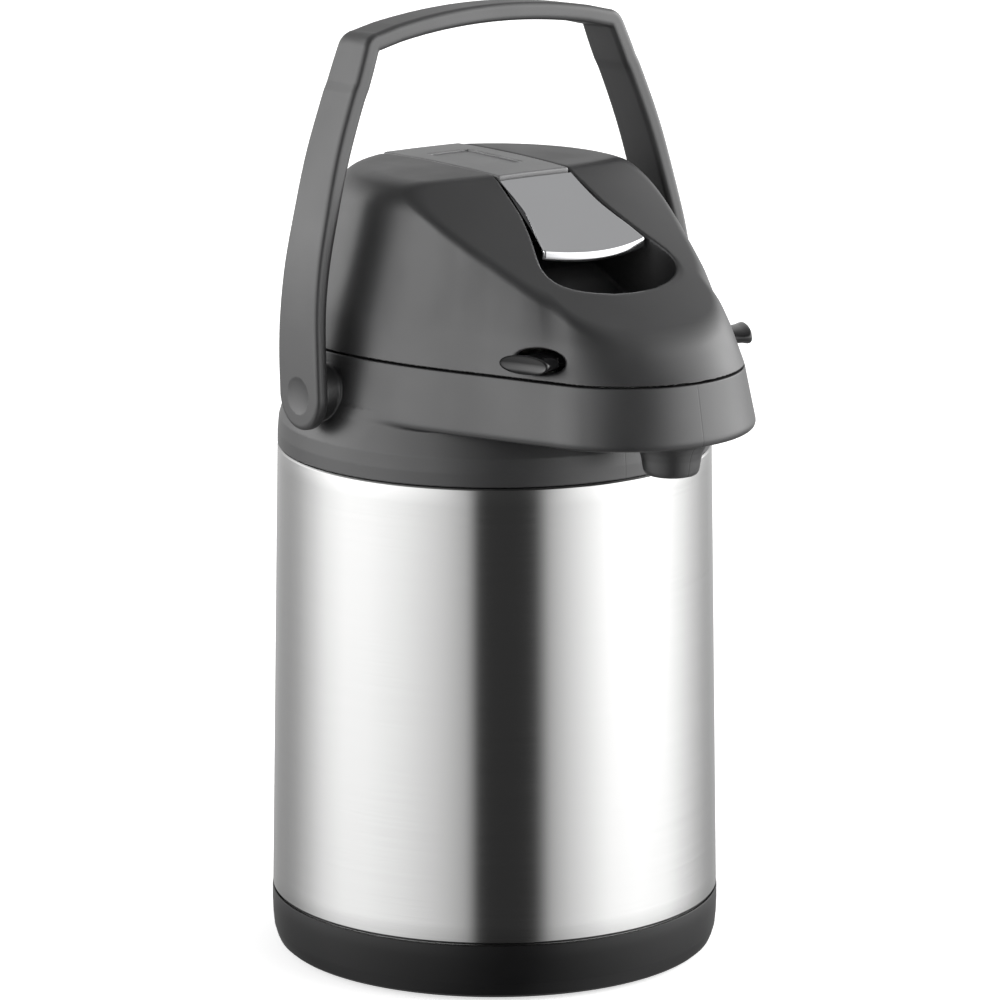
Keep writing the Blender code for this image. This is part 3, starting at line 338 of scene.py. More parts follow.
# ------------------------------------------------------------------ materials
class Nodes:
    """Small helper to write node trees."""

    def __init__(self, tree):
        self.t = tree

    def new(self, kind, **kw):
        n = self.t.nodes.new(kind)
        for k, v in kw.items():
            if k.startswith("i_"):
                key = k[2:].replace("_", " ")
                n.inputs[int(key) if key.isdigit() else key].default_value = v
            else:
                setattr(n, k, v)
        return n

    def link(self, a, b):
        self.t.links.new(a, b)

    def math(self, op, a, b=None, c=None, clamp=False):
        n = self.t.nodes.new("ShaderNodeMath")
        n.operation = op
        n.use_clamp = clamp
        for i, v in enumerate((a, b, c)):
            if v is None:
                continue
            if isinstance(v, (int, float)):
                n.inputs[i].default_value = v
            else:
                self.link(v, n.inputs[i])
        return n.outputs[0]

    def noise(self, vec, scale, detail=2.0, rough=0.5):
        n = self.new("ShaderNodeTexNoise", i_Scale=scale, i_Detail=detail, i_Roughness=rough)
        self.link(vec, n.inputs["Vector"])
        return n.outputs["Fac"]

    def remap(self, value, a, b, c, d, smooth=False):
        n = self.new("ShaderNodeMapRange")
        if smooth:
            n.interpolation_type = "SMOOTHSTEP"
        self.link(value, n.inputs["Value"])
        for k, v in (("From Min", a), ("From Max", b), ("To Min", c), ("To Max", d)):
            n.inputs[k].default_value = v
        return n.outputs["Result"]

    def mix(self, fac, a, b):
        n = self.new("ShaderNodeMix", data_type="RGBA")
        for v, i in ((fac, 0), (a, 6), (b, 7)):
            if isinstance(v, (int, float)):
                n.inputs[i].default_value = v
            elif isinstance(v, tuple):
                n.inputs[i].default_value = (*v, 1.0)[:4]
            else:
                self.link(v, n.inputs[i])
        return n.outputs[2]


def start(name):
    m = bpy.data.materials.new(name)
    m.use_nodes = True
    k = Nodes(m.node_tree)
    b = m.node_tree.nodes["Principled BSDF"]
    obj = k.new("ShaderNodeTexCoord").outputs["Object"]
    return m, k, b, obj


def plastic(name, colour, rough, grain=0.00045, bump=0.35, depth=0.00004, spread=0.06, tone=0.12, ior=1.5, parting=False, coat=0.0, shine=0.5):
    """Moulded plastic: fine spark texture, slow tone and gloss drift; a parting line on the plane x = 0 if asked."""
    m, k, b, obj = start(name)
    fine = k.noise(obj, 1 / grain, 2.0, 0.6)
    cloud = k.noise(obj, 28.0, 3.0, 0.55)
    dark = tuple(c * (1 - tone) for c in colour)
    light = tuple(c * (1 + tone) for c in colour)
    col = k.mix(k.remap(k.math("ADD", k.math("MULTIPLY", fine, 0.5), k.math("MULTIPLY", cloud, 0.5)), 0.35, 0.65, 0, 1), dark, light)
    height = fine
    if parting:
        sep = k.new("ShaderNodeSeparateXYZ")
        k.link(obj, sep.inputs[0])
        line = k.math("MULTIPLY", k.remap(k.math("ABSOLUTE", sep.outputs[0]), 0.00012, 0.00034, 1, 0, True), k.math("LESS_THAN", sep.outputs[1], -0.05))
        col = k.mix(line, col, tuple(c * 0.25 for c in colour))
        height = k.math("SUBTRACT", fine, k.math("MULTIPLY", line, 3.0))
    k.link(col, b.inputs["Base Color"])
    r = k.math("ADD", k.remap(cloud, 0.3, 0.7, rough - spread, rough + spread), k.math("MULTIPLY", k.math("SUBTRACT", fine, 0.5), spread))
    k.link(r, b.inputs["Roughness"])
    b.inputs["IOR"].default_value = ior
    b.inputs["Specular IOR Level"].default_value = shine
    if coat:
        b.inputs["Coat Weight"].default_value = coat
        b.inputs["Coat Roughness"].default_value = 0.08
    bp = k.new("ShaderNodeBump", i_Strength=bump, i_Distance=depth)
    k.link(height, bp.inputs["Height"])
    k.link(bp.outputs[0], b.inputs["Normal"])
    return m


def brushed(name, colour, rough=0.24, aniso=0.8, line=0.00022, run=11.0, axis="Z", tone=0.05):
    """Steel brushed round an axis: fine lines in tone, gloss and relief, with stretched reflections."""
    m, k, b, obj = start(name)
    mp = k.new("ShaderNodeMapping")
    k.link(obj, mp.inputs[0])
    s = [run, run, run]
    s["XYZ".index(axis)] = 1 / line
    mp.inputs["Scale"].default_value = s
    streak = k.noise(mp.outputs[0], 1.0, 3.0, 0.65)
    mp2 = k.new("ShaderNodeMapping")
    k.link(obj, mp2.inputs[0])
    s2 = [run * 3.0] * 3
    s2["XYZ".index(axis)] = 0.22 / line
    mp2.inputs["Scale"].default_value = s2
    wide = k.noise(mp2.outputs[0], 1.0, 2.0, 0.5)
    both = k.math("ADD", k.math("MULTIPLY", streak, 0.78), k.math("MULTIPLY", wide, 0.22))
    col = k.mix(k.remap(both, 0.3, 0.7, 0, 1), tuple(c * (1 - tone) for c in colour), tuple(min(1, c * (1 + tone)) for c in colour))
    k.link(col, b.inputs["Base Color"])
    b.inputs["Metallic"].default_value = 1.0
    k.link(k.remap(both, 0.3, 0.7, rough - 0.025, rough + 0.025), b.inputs["Roughness"])
    b.inputs["Anisotropic"].default_value = aniso
    b.inputs["Anisotropic Rotation"].default_value = 0.25
    tg = k.new("ShaderNodeTangent", direction_type="RADIAL", axis=axis)
    k.link(tg.outputs[0], b.inputs["Tangent"])
    bp = k.new("ShaderNodeBump", i_Strength=0.10, i_Distance=0.00002)
    k.link(both, bp.inputs["Height"])
    k.link(bp.outputs[0], b.inputs["Normal"])
    return m


def plated(name, colour, rough=0.07):
    """Bright plating: nearly mirror, with a faint satin drift and a few hairline marks."""
    m, k, b, obj = start(name)
    cloud = k.noise(obj, 45.0, 2.0, 0.5)
    mp = k.new("ShaderNodeMapping")
    k.link(obj, mp.inputs[0])
    mp.inputs["Scale"].default_value = (2600.0, 60.0, 60.0)
    hair = k.noise(mp.outputs[0], 1.0, 2.0, 0.6)
    k.link(k.mix(cloud, tuple(c * 0.97 for c in colour), colour), b.inputs["Base Color"])
    b.inputs["Metallic"].default_value = 1.0
    k.link(k.math("ADD", k.remap(cloud, 0.3, 0.7, rough - 0.02, rough + 0.03), k.remap(hair, 0.62, 0.8, 0, 0.10)), b.inputs["Roughness"])
    bp = k.new("ShaderNodeBump", i_Strength=0.03, i_Distance=0.00001)
    k.link(hair, bp.inputs["Height"])
    k.link(bp.outputs[0], b.inputs["Normal"])
    return m


def silicone(name, colour):
    m = plastic(name, colour, 0.42, grain=0.0012, bump=0.12, tone=0.04)
    b = m.node_tree.nodes["Principled BSDF"]
    b.inputs["Subsurface Weight"].default_value = 0.25
    b.inputs["Subsurface Radius"].default_value = (0.004, 0.004, 0.003)
    return m


GREY, SHINE = (0.0235, 0.0235, 0.0243), 0.72
M_CHARCOAL = plastic("charcoal_plastic", GREY, 0.40, grain=0.00040, bump=0.30, shine=SHINE)
M_COLLAR = plastic("charcoal_collar", GREY, 0.40, grain=0.00040, bump=0.30, parting=True, shine=SHINE)
M_HANDLE = plastic("charcoal_handle", (0.030, 0.030, 0.0308), 0.42, grain=0.00045, bump=0.32, shine=SHINE)
M_STRIP = plastic("charcoal_lever", (0.150, 0.150, 0.152), 0.40, grain=0.00040, bump=0.26, shine=SHINE)
M_BASE = plastic("black_base", (0.0055, 0.0055, 0.0058), 0.34, grain=0.0005, bump=0.22, shine=0.22)
M_GLOSS = plastic("gloss_black", (0.008, 0.008, 0.0085), 0.14, grain=0.0018, bump=0.04, spread=0.03)
M_STEEL = brushed("brushed_steel", (0.485, 0.485, 0.482), rough=0.20, aniso=0.88, tone=0.022)
M_STEEL_PLAIN = brushed("plain_steel", (0.46, 0.46, 0.46), rough=0.28, aniso=0.4, line=0.0006, run=30.0)
M_CHROME = plated("chrome_plate", (0.78, 0.785, 0.80))
M_WHITE = plastic("natural_plastic", (0.70, 0.70, 0.67), 0.40, grain=0.0009, bump=0.12, tone=0.05)
M_SILICONE = silicone("silicone", (0.62, 0.62, 0.59))
M_RUBBER = plastic("black_rubber", (0.022, 0.022, 0.022), 0.72, grain=0.0006, bump=0.5, tone=0.2)
LOOK = {"charcoal": M_CHARCOAL, "black_plastic": M_BASE, "gloss_black": M_GLOSS, "brushed_steel": M_STEEL, "steel": M_STEEL_PLAIN,
        "chrome": M_CHROME, "white_plastic": M_WHITE, "silicone": M_SILICONE, "rubber": M_RUBBER}

SLOT = {s["node"]: s["material_slot"] for s in frame["record"]["subparts"]}
BODY = {n: b for b, ns in frame["record"]["behaviour"]["bodies"].items() for n in ns}
for n, ob in frame["nodes"].items():
    ob.data.materials.clear()
    ob.data.materials.append(LOOK[SLOT[n]])


def piece(node, verts, faces, material=None, normals=None, sharp=None):
    return finish_mesh(node + "_look", verts, faces, material or LOOK[SLOT[node]], BODY[node], [node], normals, sharp)


# ------------------------------------------------------------------ turned pieces
def turned(node, profile, seg=96, r=0.3, n=3, material=None, sharp=40, **kw):
    v, f = revolve(profile, seg, r=r, n=n, **kw)
    return piece(node, v, f, material, sharp=sharp)


turned("foot_pad", [(0, 1.2), (62.0, 1.2), (62.0, 0.0), (57.0, 0.0), (56.4, 0.5), (53.6, 0.5), (53.0, 0.0), (0, 0.0)], 160, 0.25)
turned("swivel_foot", [(66.0, 4.0), (66.0, 2.4), (64.5, 1.5), (8.0, 1.5), (8.0, 4.0)], 160, 0.4)
turned("swivel_glide_ring", [(58.0, 6.3), (58.0, 4.3), (50.0, 4.3), (50.0, 6.3)], 128, 0.4)
turned("base_cup", [
    (81.0, 21.0), (81.02, 16.0), (80.85, 11.0), (80.45, 6.8), (79.6, 3.9), (78.9, 2.3), (77.6, 1.2), (68.0, 1.2), (68.0, 6.6), (5.0, 6.6), (5.0, 11.6), (76.5, 11.6),
    (76.5, 17.2), (80.5, 17.2), (80.5, 21.0)], 256, 0.35, sharp=50)
turned("outer_shell", [
    (72.0, 193.2), (74.6, 191.6), (74.6, 185.2), (77.3, 185.2), (77.9, 184.6), (80.8, 22.3), (80.1, 21.4), (80.1, 17.6),
    (79.3, 17.6), (79.3, 21.8), (80.0, 23.2), (77.1, 184.4), (73.8, 184.4), (73.8, 191.2), (72.0, 192.3)], 288, 0.25, spacing=6.0, sharp=50)
turned("inner_liner", [
    (31.7, 200.0), (31.7, 186.0), (52.0, 176.0), (64.0, 168.5), (70.0, 158.0), (70.0, 40.0), (58.0, 28.0), (0, 28.0),
    (0, 29.2), (57.7, 29.2), (68.8, 40.2), (68.8, 157.7), (63.2, 167.6), (51.4, 174.9), (30.5, 185.2), (30.5, 200.0)], 128, 0.5, n=4, material=M_STEEL_PLAIN)
turned("flask_support", [(60.0, 27.6), (60.0, 12.0), (57.0, 12.0), (57.0, 18.0), (34.0, 24.0), (34.0, 27.6)], 96, 0.5)
turned("swivel_screw", [(0, 14.0), (2.4, 14.0), (2.4, 15.4), (6.0, 15.4), (8.0, 13.8), (8.0, 13.0), (4.4, 13.0), (4.4, 3.0), (0, 3.0)], 48, 0.3)
turned("swivel_washer", [(10.0, 12.7), (10.0, 11.9), (4.8, 11.9), (4.8, 12.7)], 64, 0.2)
turned("stem_seal", [(30.0, 194.0), (30.0, 190.5), (28.3, 190.5), (28.3, 194.0)], 96, 0.7, n=5)
turned("dip_tube", [(5.2, 198.0), (5.2, 34.0), (3.4, 34.0), (3.4, 198.0)], 48, 0.3)
turned("dip_tube_tip", [(7.2, 45.0), (7.2, 36.0), (6.0, 31.6), (4.2, 31.6), (3.6, 33.6), (5.5, 33.6), (5.5, 45.0)], 48, 0.4)
turned("lid_gasket", [(35.0, 221.1), (35.0, 218.8), (27.0, 218.8), (27.0, 221.1)], 96, 0.7, n=4)
turned("check_valve", [(9.5, 225.4), (9.5, 224.4), (6.0, 224.3), (6.0, 219.8), (2.5, 219.8), (2.5, 225.4)], 64, 0.3)
turned("bellows_ring", [(36.6, 225.6), (36.6, 224.3), (31.8, 224.3), (31.8, 225.6)], 96, 0.3)
turned("pump_plate", [(0, 266.4), (5.0, 266.4), (6.0, 265.4), (6.0, 251.5), (9.0, 248.8), (32.0, 248.8), (34.5, 247.8), (34.5, 245.7), (0, 245.7)], 96, 0.8)
ALONG_X = Matrix.Rotation(math.radians(90), 4, "Y")
turned("lid_hinge_pin", [(0, 21.5), (1.7, 21.5), (1.7, -21.5), (0, -21.5)], 32, 0.3, at=(0, HINGE_Y, HINGE_Z), turn=ALONG_X)
turned("lever_pin", [(0, 21.0), (2.0, 21.0), (2.0, -21.0), (0, -21.0)], 32, 0.3, at=(0, LEVER_Y, LEVER_Z), turn=ALONG_X)
for s, side in ((-1, "left"), (1, "right")):
    turned("handle_pin_" + side, [(0, 81.2), (3.3, 81.2), (3.9, 80.6), (3.9, 64.0), (3.3, 63.4), (0, 63.4)], 48, 0.2,
           at=(0, PIVOT_Y, PIVOT_Z), turn=Matrix.Rotation(math.radians(90 * s), 4, "Y"))
for i, (x, y) in enumerate(((-44, 22), (44, 22), (-36, -52), (36, -52))):
    turned(f"lid_screw_{i + 1}", [(0, 240.0), (1.5, 240.0), (1.5, 221.1), (3.4, 221.1), (3.1, 219.4), (1.3, 219.4), (1.0, 220.5), (0, 220.5)], 32, 0.15, at=(x, y, 0))


def bellows_profile():
    z0, z1, folds = 225.9, 245.4, 2
    out = [(36.0, z0)]
    for i in range(folds):
        out += [(30.0, z0 + 1.6 + (z1 - z0 - 3.2) * (i + 0.25) / folds), (36.0, z0 + 1.6 + (z1 - z0 - 3.2) * (i + 0.75) / folds)]
    out += [(34.0, z1)]
    return out[::-1] + [(a - 1.1, z) for a, z in out]


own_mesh(turned("bellows", bellows_profile(), 96, 0.5))


def coil(node, r, wire, z0, z1, turns, per=28, sec=10, at=(0, 0, 0), turn=None):
    n = int(turns * per)
    i = np.arange(n + 1)
    a = 2 * math.pi * i / per
    z = z0 + wire + (z1 - z0 - 2 * wire) * i / n
    b = 2 * math.pi * np.arange(sec) / sec
    rr = r + wire * np.cos(b)[None, :]
    v = np.stack([rr * np.cos(a)[:, None], rr * np.sin(a)[:, None], z[:, None] + wire * np.sin(b)[None, :]], -1).reshape(-1, 3)
    m4 = Matrix.Translation(at) @ (turn or Matrix())
    v = v @ np.array(m4.to_3x3()).T + np.array(m4.translation)
    f = [tuple(q[::-1]) for q in grid_faces(n + 1, sec)]
    f += [tuple(range(sec)), tuple(range(n * sec + sec - 1, n * sec - 1, -1))]
    return piece(node, v, f, sharp=50)


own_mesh(coil("bellows_spring", 20.0, 0.85, 224.6, 245.2, 3.0))
for s, side in ((-1, "left"), (1, "right")):
    spring = coil("latch_spring_" + side, 2.4, 0.33, 18.2, 25.7, 3, 20, 8, at=(0, -82, 232.5), turn=Matrix.Rotation(math.radians(90 * s), 4, "Y"))
    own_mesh(spring)


def channel_plan(grow=0.0, step=140):
    ys0, ys1 = POCKET_KEYS[-1][0], POCKET_KEYS[0][0]
    t = np.linspace(0, 1, step)
    y = ys0 + (ys1 - ys0) * t**1.9
    w = smooth_keys(POCKET_KEYS, y)
    dw = (smooth_keys(POCKET_KEYS, y + 0.2) - smooth_keys(POCKET_KEYS, y - 0.2)) / 0.4
    ln = np.hypot(1.0, dw)
    y2, w2 = y - grow * dw / ln, w + grow / ln
    y2[0], w2[0] = ys0 - grow, w[0] + 0.4 * grow
    y2[-1] = ys1 + grow
    right = list(zip(w2.tolist(), y2.tolist()))
    return right + [(-x, yy) for x, yy in reversed(right)]


# ------------------------------------------------------------------ lid cover
def lid_skin(x, y, z):
    theta = np.arctan2(x, -y)
    r = np.hypot(x, y)
    c = outline_cos(theta)
    skin = (r - outline_r(theta) + skin_inset(theta, z - SEAM_Z) / c) * c * 0.955
    bevel = (z - (TOP_Z - TOP_CROWN * BEVEL_R**2 - BEVEL_SLOPE * (r - BEVEL_R))) * 0.894
    top = z - (TOP_Z - TOP_CROWN * r * r)
    facet = (z - (FACET_Z - FACET_SLOPE * (FACET_Y - y) - FACET_CROWN * x * x)) * 0.86
    return smax(smax(skin, bevel, 5.0), smax(top, facet, 1.2), 2.2)


POCKET = channel_plan()
FLOOR_KEYS = ((-90.0, 256.0), (-81.7, 251.5), (-77.0, 246.5), (-71.5, 242.6), (-66.0, 240.8), (-61.5, 240.2), (-56.0, 241.1), (-50.0, 244.0), (-45.5, 246.9), (-41.0, 250.4), (-36.0, 253.2), (-32.0, 254.0), (60.0, 254.0))


def tray_floor(y):
    return smooth_keys([(a + 100.0, b) for a, b in FLOOR_KEYS], np.asarray(y, float) + 100.0)


KNUCKLE = [(77.6, 219.3), (81.4, 219.3), (83.0, 222.5), (82.9, 226.0), (82.4, 227.0), (80.2, 229.2), (69.0, 235.2), (65.5, 235.2), (66.5, 227.2), (75.6, 226.0), (76.0, 222.5)]


def pocket_sd(x, y):
    x, y = np.broadcast_arrays(np.asarray(x, float), np.asarray(y, float))
    d = np.full(x.shape, 9.0)
    near = (np.abs(x) < 36) & (y < 57)
    d[near] = poly_sd(x[near], y[near], POCKET)
    return d


def lid_f(x, y, z):
    base = lid_skin(x, y, z)
    f = np.maximum(base, -(base + LID_WALL))
    d2 = pocket_sd(x, y)
    floor = tray_floor(y)
    tray = np.maximum(d2 - TRAY_WALL, floor - TRAY_WALL - z)
    f = np.minimum(f, np.maximum(tray, base))
    for bx, by in ((-44, 22), (44, 22), (-36, -52), (36, -52)):
        rr = np.hypot(x - bx, y - by)
        f = np.minimum(f, np.maximum(np.maximum(rr - 4.0, 229.2 - z), base))
        f = np.maximum(f, -np.maximum(rr - 1.9, z - 243.0))
    hole = smax(d2 + 0.03 * (262.0 - z) * ease(-44, -60, y), floor - z, 1.0 + 1.0 * ease(-44, -60, y))
    rim = 0.9 + 3.6 * ease(-66.0, -80.0, y)
    f = smax(f, -hole, rim)
    f = np.maximum(f, -np.maximum(np.hypot(x, y) - 10.0, 240.0 - z))
    ax = np.abs(x)
    along, deep = (ax - 41.8) * 0.4 + (y + 83.6) * 0.916, (ax - 41.8) * 0.916 - (y + 83.6) * 0.4
    win = (np.hypot((along - 0.5) / 9.7, (z - 232.9) / 4.15) - 1.0) * 4.4
    f = smax(f, -np.maximum(win, -13.5 - deep), 0.9)
    f = smax(f, SEAM_Z + 0.3 - z, 0.35)
    knuckle = smax(poly_sd(y, z, KNUCKLE) - 0.3, np.abs(x) - 11.5, 0.8)
    f = smin(f, knuckle, 0.8)
    f = np.maximum(f, 2.0 - np.hypot(y - HINGE_Y, z - HINGE_Z))
    f = np.maximum(f, np.minimum(2.3 - np.hypot(y - LEVER_Y, z - LEVER_Z), 22.0 - np.abs(x)))
    return f


# ------------------------------------------------------------------ collar
RING = [(50.0, 209.5), (72.6, 209.5), (73.3, 208.6), (74.25, 204.4), (76.9, 195.5), (77.4, 190.0), (77.45, 185.95), (50.0, 185.95)]
NOZZLE = [(0, 208.0), (16.5, 208.0), (14.2, 205.0), (12.2, 202.6), (11.0, 200.4), (10.3, 198.0), (9.95, 195.6), (9.55, 193.6), (8.9, 192.5), (7.6, 192.1), (0, 192.1)]
THROAT = [(-1, 240), (60.0, 240), (60.0, 204.5), (56.0, 200.4), (56.0, 197.5), (72.0, 194.2), (74.9, 192.4), (74.9, 180), (-1, 180)]
LUG = [(68, HINGE_Z - 17), (74.0, HINGE_Z - 17), (HINGE_Y + 3.9, HINGE_Z - 4), (HINGE_Y + 3.9, HINGE_Z + 1.2), (HINGE_Y + 2.2, HINGE_Z + 2.8), (68, HINGE_Z + 2.8)]


def collar_f(x, y, z):
    theta = np.arctan2(x, -y)
    r = np.hypot(x, y)
    c = outline_cos(theta)
    o = outline_r(theta)
    side = ((r - o) * c - BAND_DRAFT * (SEAM_Z - z)) * 0.98
    band = smax(smax(side, z - (SEAM_Z - 0.3), 0.35), 204.25 - z, 3.2)
    f = smin(band, poly_sd(r, z, RING) - 0.4, 0.8)
    ax = np.abs(x)
    hub = np.hypot(y - PIVOT_Y, z - PIVOT_Z)
    f = smin(f, smax(smax(hub - 9.9 + 0.05 * (ax - 70.0), ax - 78.3, 0.7), 66.0 - ax, 1.0), 0.9)
    f = smin(f, smax(poly_sd(y, z, LUG) - 0.3, np.abs(ax - 17.0) - 5.0, 0.9), 1.0)
    f = smin(f, poly_sd(np.hypot(x, y + 103.6), z, NOZZLE) - 0.1, 1.6)
    f = smax(f, -smax((r - o) * c + 3.6, 207.6 - z, 1.5), 0.8)
    f = np.maximum(f, -poly_sd(r, z, THROAT))
    f = smax(f, 7.0 - np.hypot(x, y + 103.6), 0.8)
    f = np.maximum(f, -np.maximum(hub - 4.4, 60.0 - ax))
    f = np.maximum(f, 2.0 - np.hypot(y - HINGE_Y, z - HINGE_Z))
    return f


# ------------------------------------------------------------------ carrying handle
def handle_path():
    """Outer line of one arm and half the crossbar, in the handle's own plane (x, height over the pivot)."""
    keys = [(z, x) for x, z in HANDLE_KEYS]
    out = [(HANDLE_KEYS[0][0], -16.0)]
    for z in np.arange(0, 109, 3.0):
        out.append((float(smooth_keys(keys, z)), float(z)))
    for a in np.linspace(20, 84, 13):
        t = math.radians(a)
        out.append((49.8 + 7.0 * math.cos(t), 117.9 + 7.0 * math.sin(t)))
    rad = (53.0**2 + 6.2**2) / 12.4
    for x in np.linspace(42, 0, 15):
        out.append((float(x), HANDLE_CROWN - (rad - math.sqrt(rad * rad - x * x))))
    return out


HANDLE_PATH = handle_path()
HANDLE_LOOP = HANDLE_PATH + [(-40.0, HANDLE_PATH[-1][1]), (-40.0, -40.0), (HANDLE_PATH[0][0], -40.0)]


def handle_f(x, y, z):
    cy, sy = math.cos(HANDLE_LEAN), math.sin(HANDLE_LEAN)
    yy, zz = y - PIVOT_Y, z - PIVOT_Z
    v, h = yy * cy - zz * sy, yy * sy + zz * cy
    ax = np.abs(x)
    outer = poly_sd(ax, h, HANDLE_LOOP)
    t = smooth_keys(HANDLE_THICKS, h)
    thick = np.maximum(outer, -outer - t)
    half = smooth_keys(HANDLE_WIDTHS, h) / 2
    wide = np.hypot(v, np.minimum(h, 0)) - half
    f = smax(thick, wide, 2.2)
    hub = np.hypot(v, h)
    f = np.maximum(f, -np.maximum(hub - 4.3, ax - 81.6))
    dish = 84.02 - 0.95 * np.clip(1 - (hub / 6.7) ** 2, 0, 1) ** 0.8
    f = np.where(ax > 80, smax(f, ax - dish, 0.25), f)
    return f


# ------------------------------------------------------------------ lever
def strip_w(y):
    return STRIP_W_FRONT + (STRIP_W_REAR - STRIP_W_FRONT) * (y - STRIP_FRONT) / (STRIP_REAR - STRIP_FRONT)


def plate_z(x, y):
    return FACET_Z - FACET_SLOPE * (FACET_Y - y) - 0.0006 * x * x - 0.3


TONGUE = tuple((y, w - 2.6) for y, w in PLATE_KEYS)


def arm_f(x, y, z):
    ax = np.abs(x)
    top = TOP_Z - TOP_CROWN * (x * x + y * y)
    f = smax(smax(smax(z - top, top - 3.0 - z, 0.3), ax - strip_w(y), 0.9), smax(STRIP_FRONT - y, y - STRIP_REAR, 0.3), 0.7)
    half = np.where(y < -24.9, smooth_keys(TONGUE, y), 13.0)
    up = np.minimum(plate_z(x, y) - 2.6, top - 1.5)
    low = np.minimum(plate_z(x, y) - 5.0, top - 4.4)
    tongue = smax(smax((z - up) * 0.88, (low - z) * 0.88, 0.5), smax(ax - half, smax(-58.0 - y, y + 14.0, 1.0), 1.0), 0.8)
    f = np.minimum(f, tongue)
    barrel = smax(np.hypot(y - LEVER_Y, z - LEVER_Z) - 4.0, ax - 15.8, 0.8)
    web = np.maximum(np.maximum(ax - 15.8, np.abs(y - LEVER_Y + 0.2) - 2.8), np.maximum(LEVER_Z - z, z - 284.6))
    boss = np.maximum(np.hypot(x, y) - (4.0 + 2.0 * np.clip((z - 267.6) / 16.8, 0, 1)), np.maximum(267.3 - z, z - 284.4))
    rib = np.maximum(np.maximum(np.abs(ax - 11.5) - 1.0, np.maximum(-16.0 - y, y - LEVER_Y)), np.maximum(277.5 - z, z - 284.4))
    f = smin(smin(f, smin(barrel, web, 0.6), 0.6), smin(boss, rib, 0.6), 0.8)
    f = np.maximum(f, 2.3 - np.hypot(y - LEVER_Y, z - LEVER_Z))
    w = 8.1 + 0.8 * (y + 6.1) / 35.0
    recess = smax(np.maximum(ax - w, np.maximum(-6.1 - y, y - 28.9)), top - 0.75 - z, 0.25)
    f = smax(f, -recess, 0.3)
    for yy in (-33.0, -47.0):
        f = np.maximum(f, np.minimum(1.6 - np.hypot(x, y - yy), 283.0 - z))
    return f


def plate_mesh():
    """Bright plate: for each station across it, a closed loop from the rear edge over the top, round the nose and back."""
    ys = np.linspace(-24.9, -58.8, 40)
    nx, edge = 61, 0.62
    u = np.sin(np.linspace(-math.pi / 2, math.pi / 2, nx))
    u = np.sign(u) * (1 - (1 - np.abs(u)) ** 1.0)
    depth, lip = 1.3, 3.5
    cols = []
    for ui in u:
        a = abs(ui)
        k = max(0.0, (a - (1 - edge / 20)) / (edge / 20))
        t = math.sqrt(max(0.0, 1 - k * k))               # the plate thins to a rounded side
        t = max(t, 0.03)
        tops, unders = [], []
        for i, y in enumerate(ys):
            hw = float(smooth_keys(PLATE_KEYS, y))
            yy = y + (PLATE_NOSE + 58.8) * (i / (len(ys) - 1)) ** 2 * (1 - ui * ui)
            tops.append((hw * ui, yy))
        # top run, nose fillet, lip, inner run
        slope = math.atan(FACET_SLOPE)
        loop = []
        mid = depth / 2
        xr, yr = tops[0]
        for a_ in np.linspace(-90, 0, 5)[:-1]:
            pass
        for x, yy in tops:
            loop.append((x, yy, plate_z(x, yy) - mid + mid * t))
        x, yn = tops[-1]
        zn = plate_z(x, yn)
        rad = 0.95
        # the nose turns from the plate's slope to straight down
        ny, nz = -math.sin(slope), math.cos(slope)
        cy_, cz_ = yn - ny * rad, zn - nz * rad
        for b in np.linspace(0, 1, 8)[1:]:
            ang = (math.pi / 2 + slope) + (math.pi + 0.10 - (math.pi / 2 + slope)) * b
            oy, oz = math.cos(ang) * rad, math.sin(ang) * rad
            s = (rad - mid + mid * t) / rad
            loop.append((x, cy_ + oy * s, cz_ + oz * s))
        tip_z = zn - lip
        fy = loop[-1][1]
        loop.append((x, fy + 0.05, (loop[-1][2] + tip_z) / 2 + 0.2))
        loop.append((x, fy + 0.10, tip_z + 0.45))
        for b in np.linspace(0, math.pi, 7)[1:-1]:
            loop.append((x, fy + 0.10 + (mid * 0.7 - mid * 0.7 * math.cos(b)) * (0.25 + 0.75 * t), tip_z + 0.45 - math.sin(b) * 0.45))
        iy = loop[-1][1] + 0.1
        loop.append((x, fy + 0.15 + mid * 1.4 * (0.25 + 0.75 * t), tip_z + 0.6))
        for b in np.linspace(1, 0, 6):
            ang = (math.pi / 2 + slope) + (math.pi + 0.10 - (math.pi / 2 + slope)) * b
            s = max(0.12, (rad - mid - mid * t)) / rad
            loop.append((x, cy_ + math.cos(ang) * rad * s, cz_ + math.sin(ang) * rad * s))
        for x, yy in reversed(tops[:-1]):
            loop.append((x, yy, plate_z(x, yy) - mid - mid * t))
        cols.append(loop)
    m = len(cols[0])
    v = np.array(cols).reshape(-1, 3)
    f = [tuple(q) for q in grid_faces(nx, m)]
    f += [tuple(range(m))[::-1], tuple(range((nx - 1) * m, nx * m))]
    return v, f


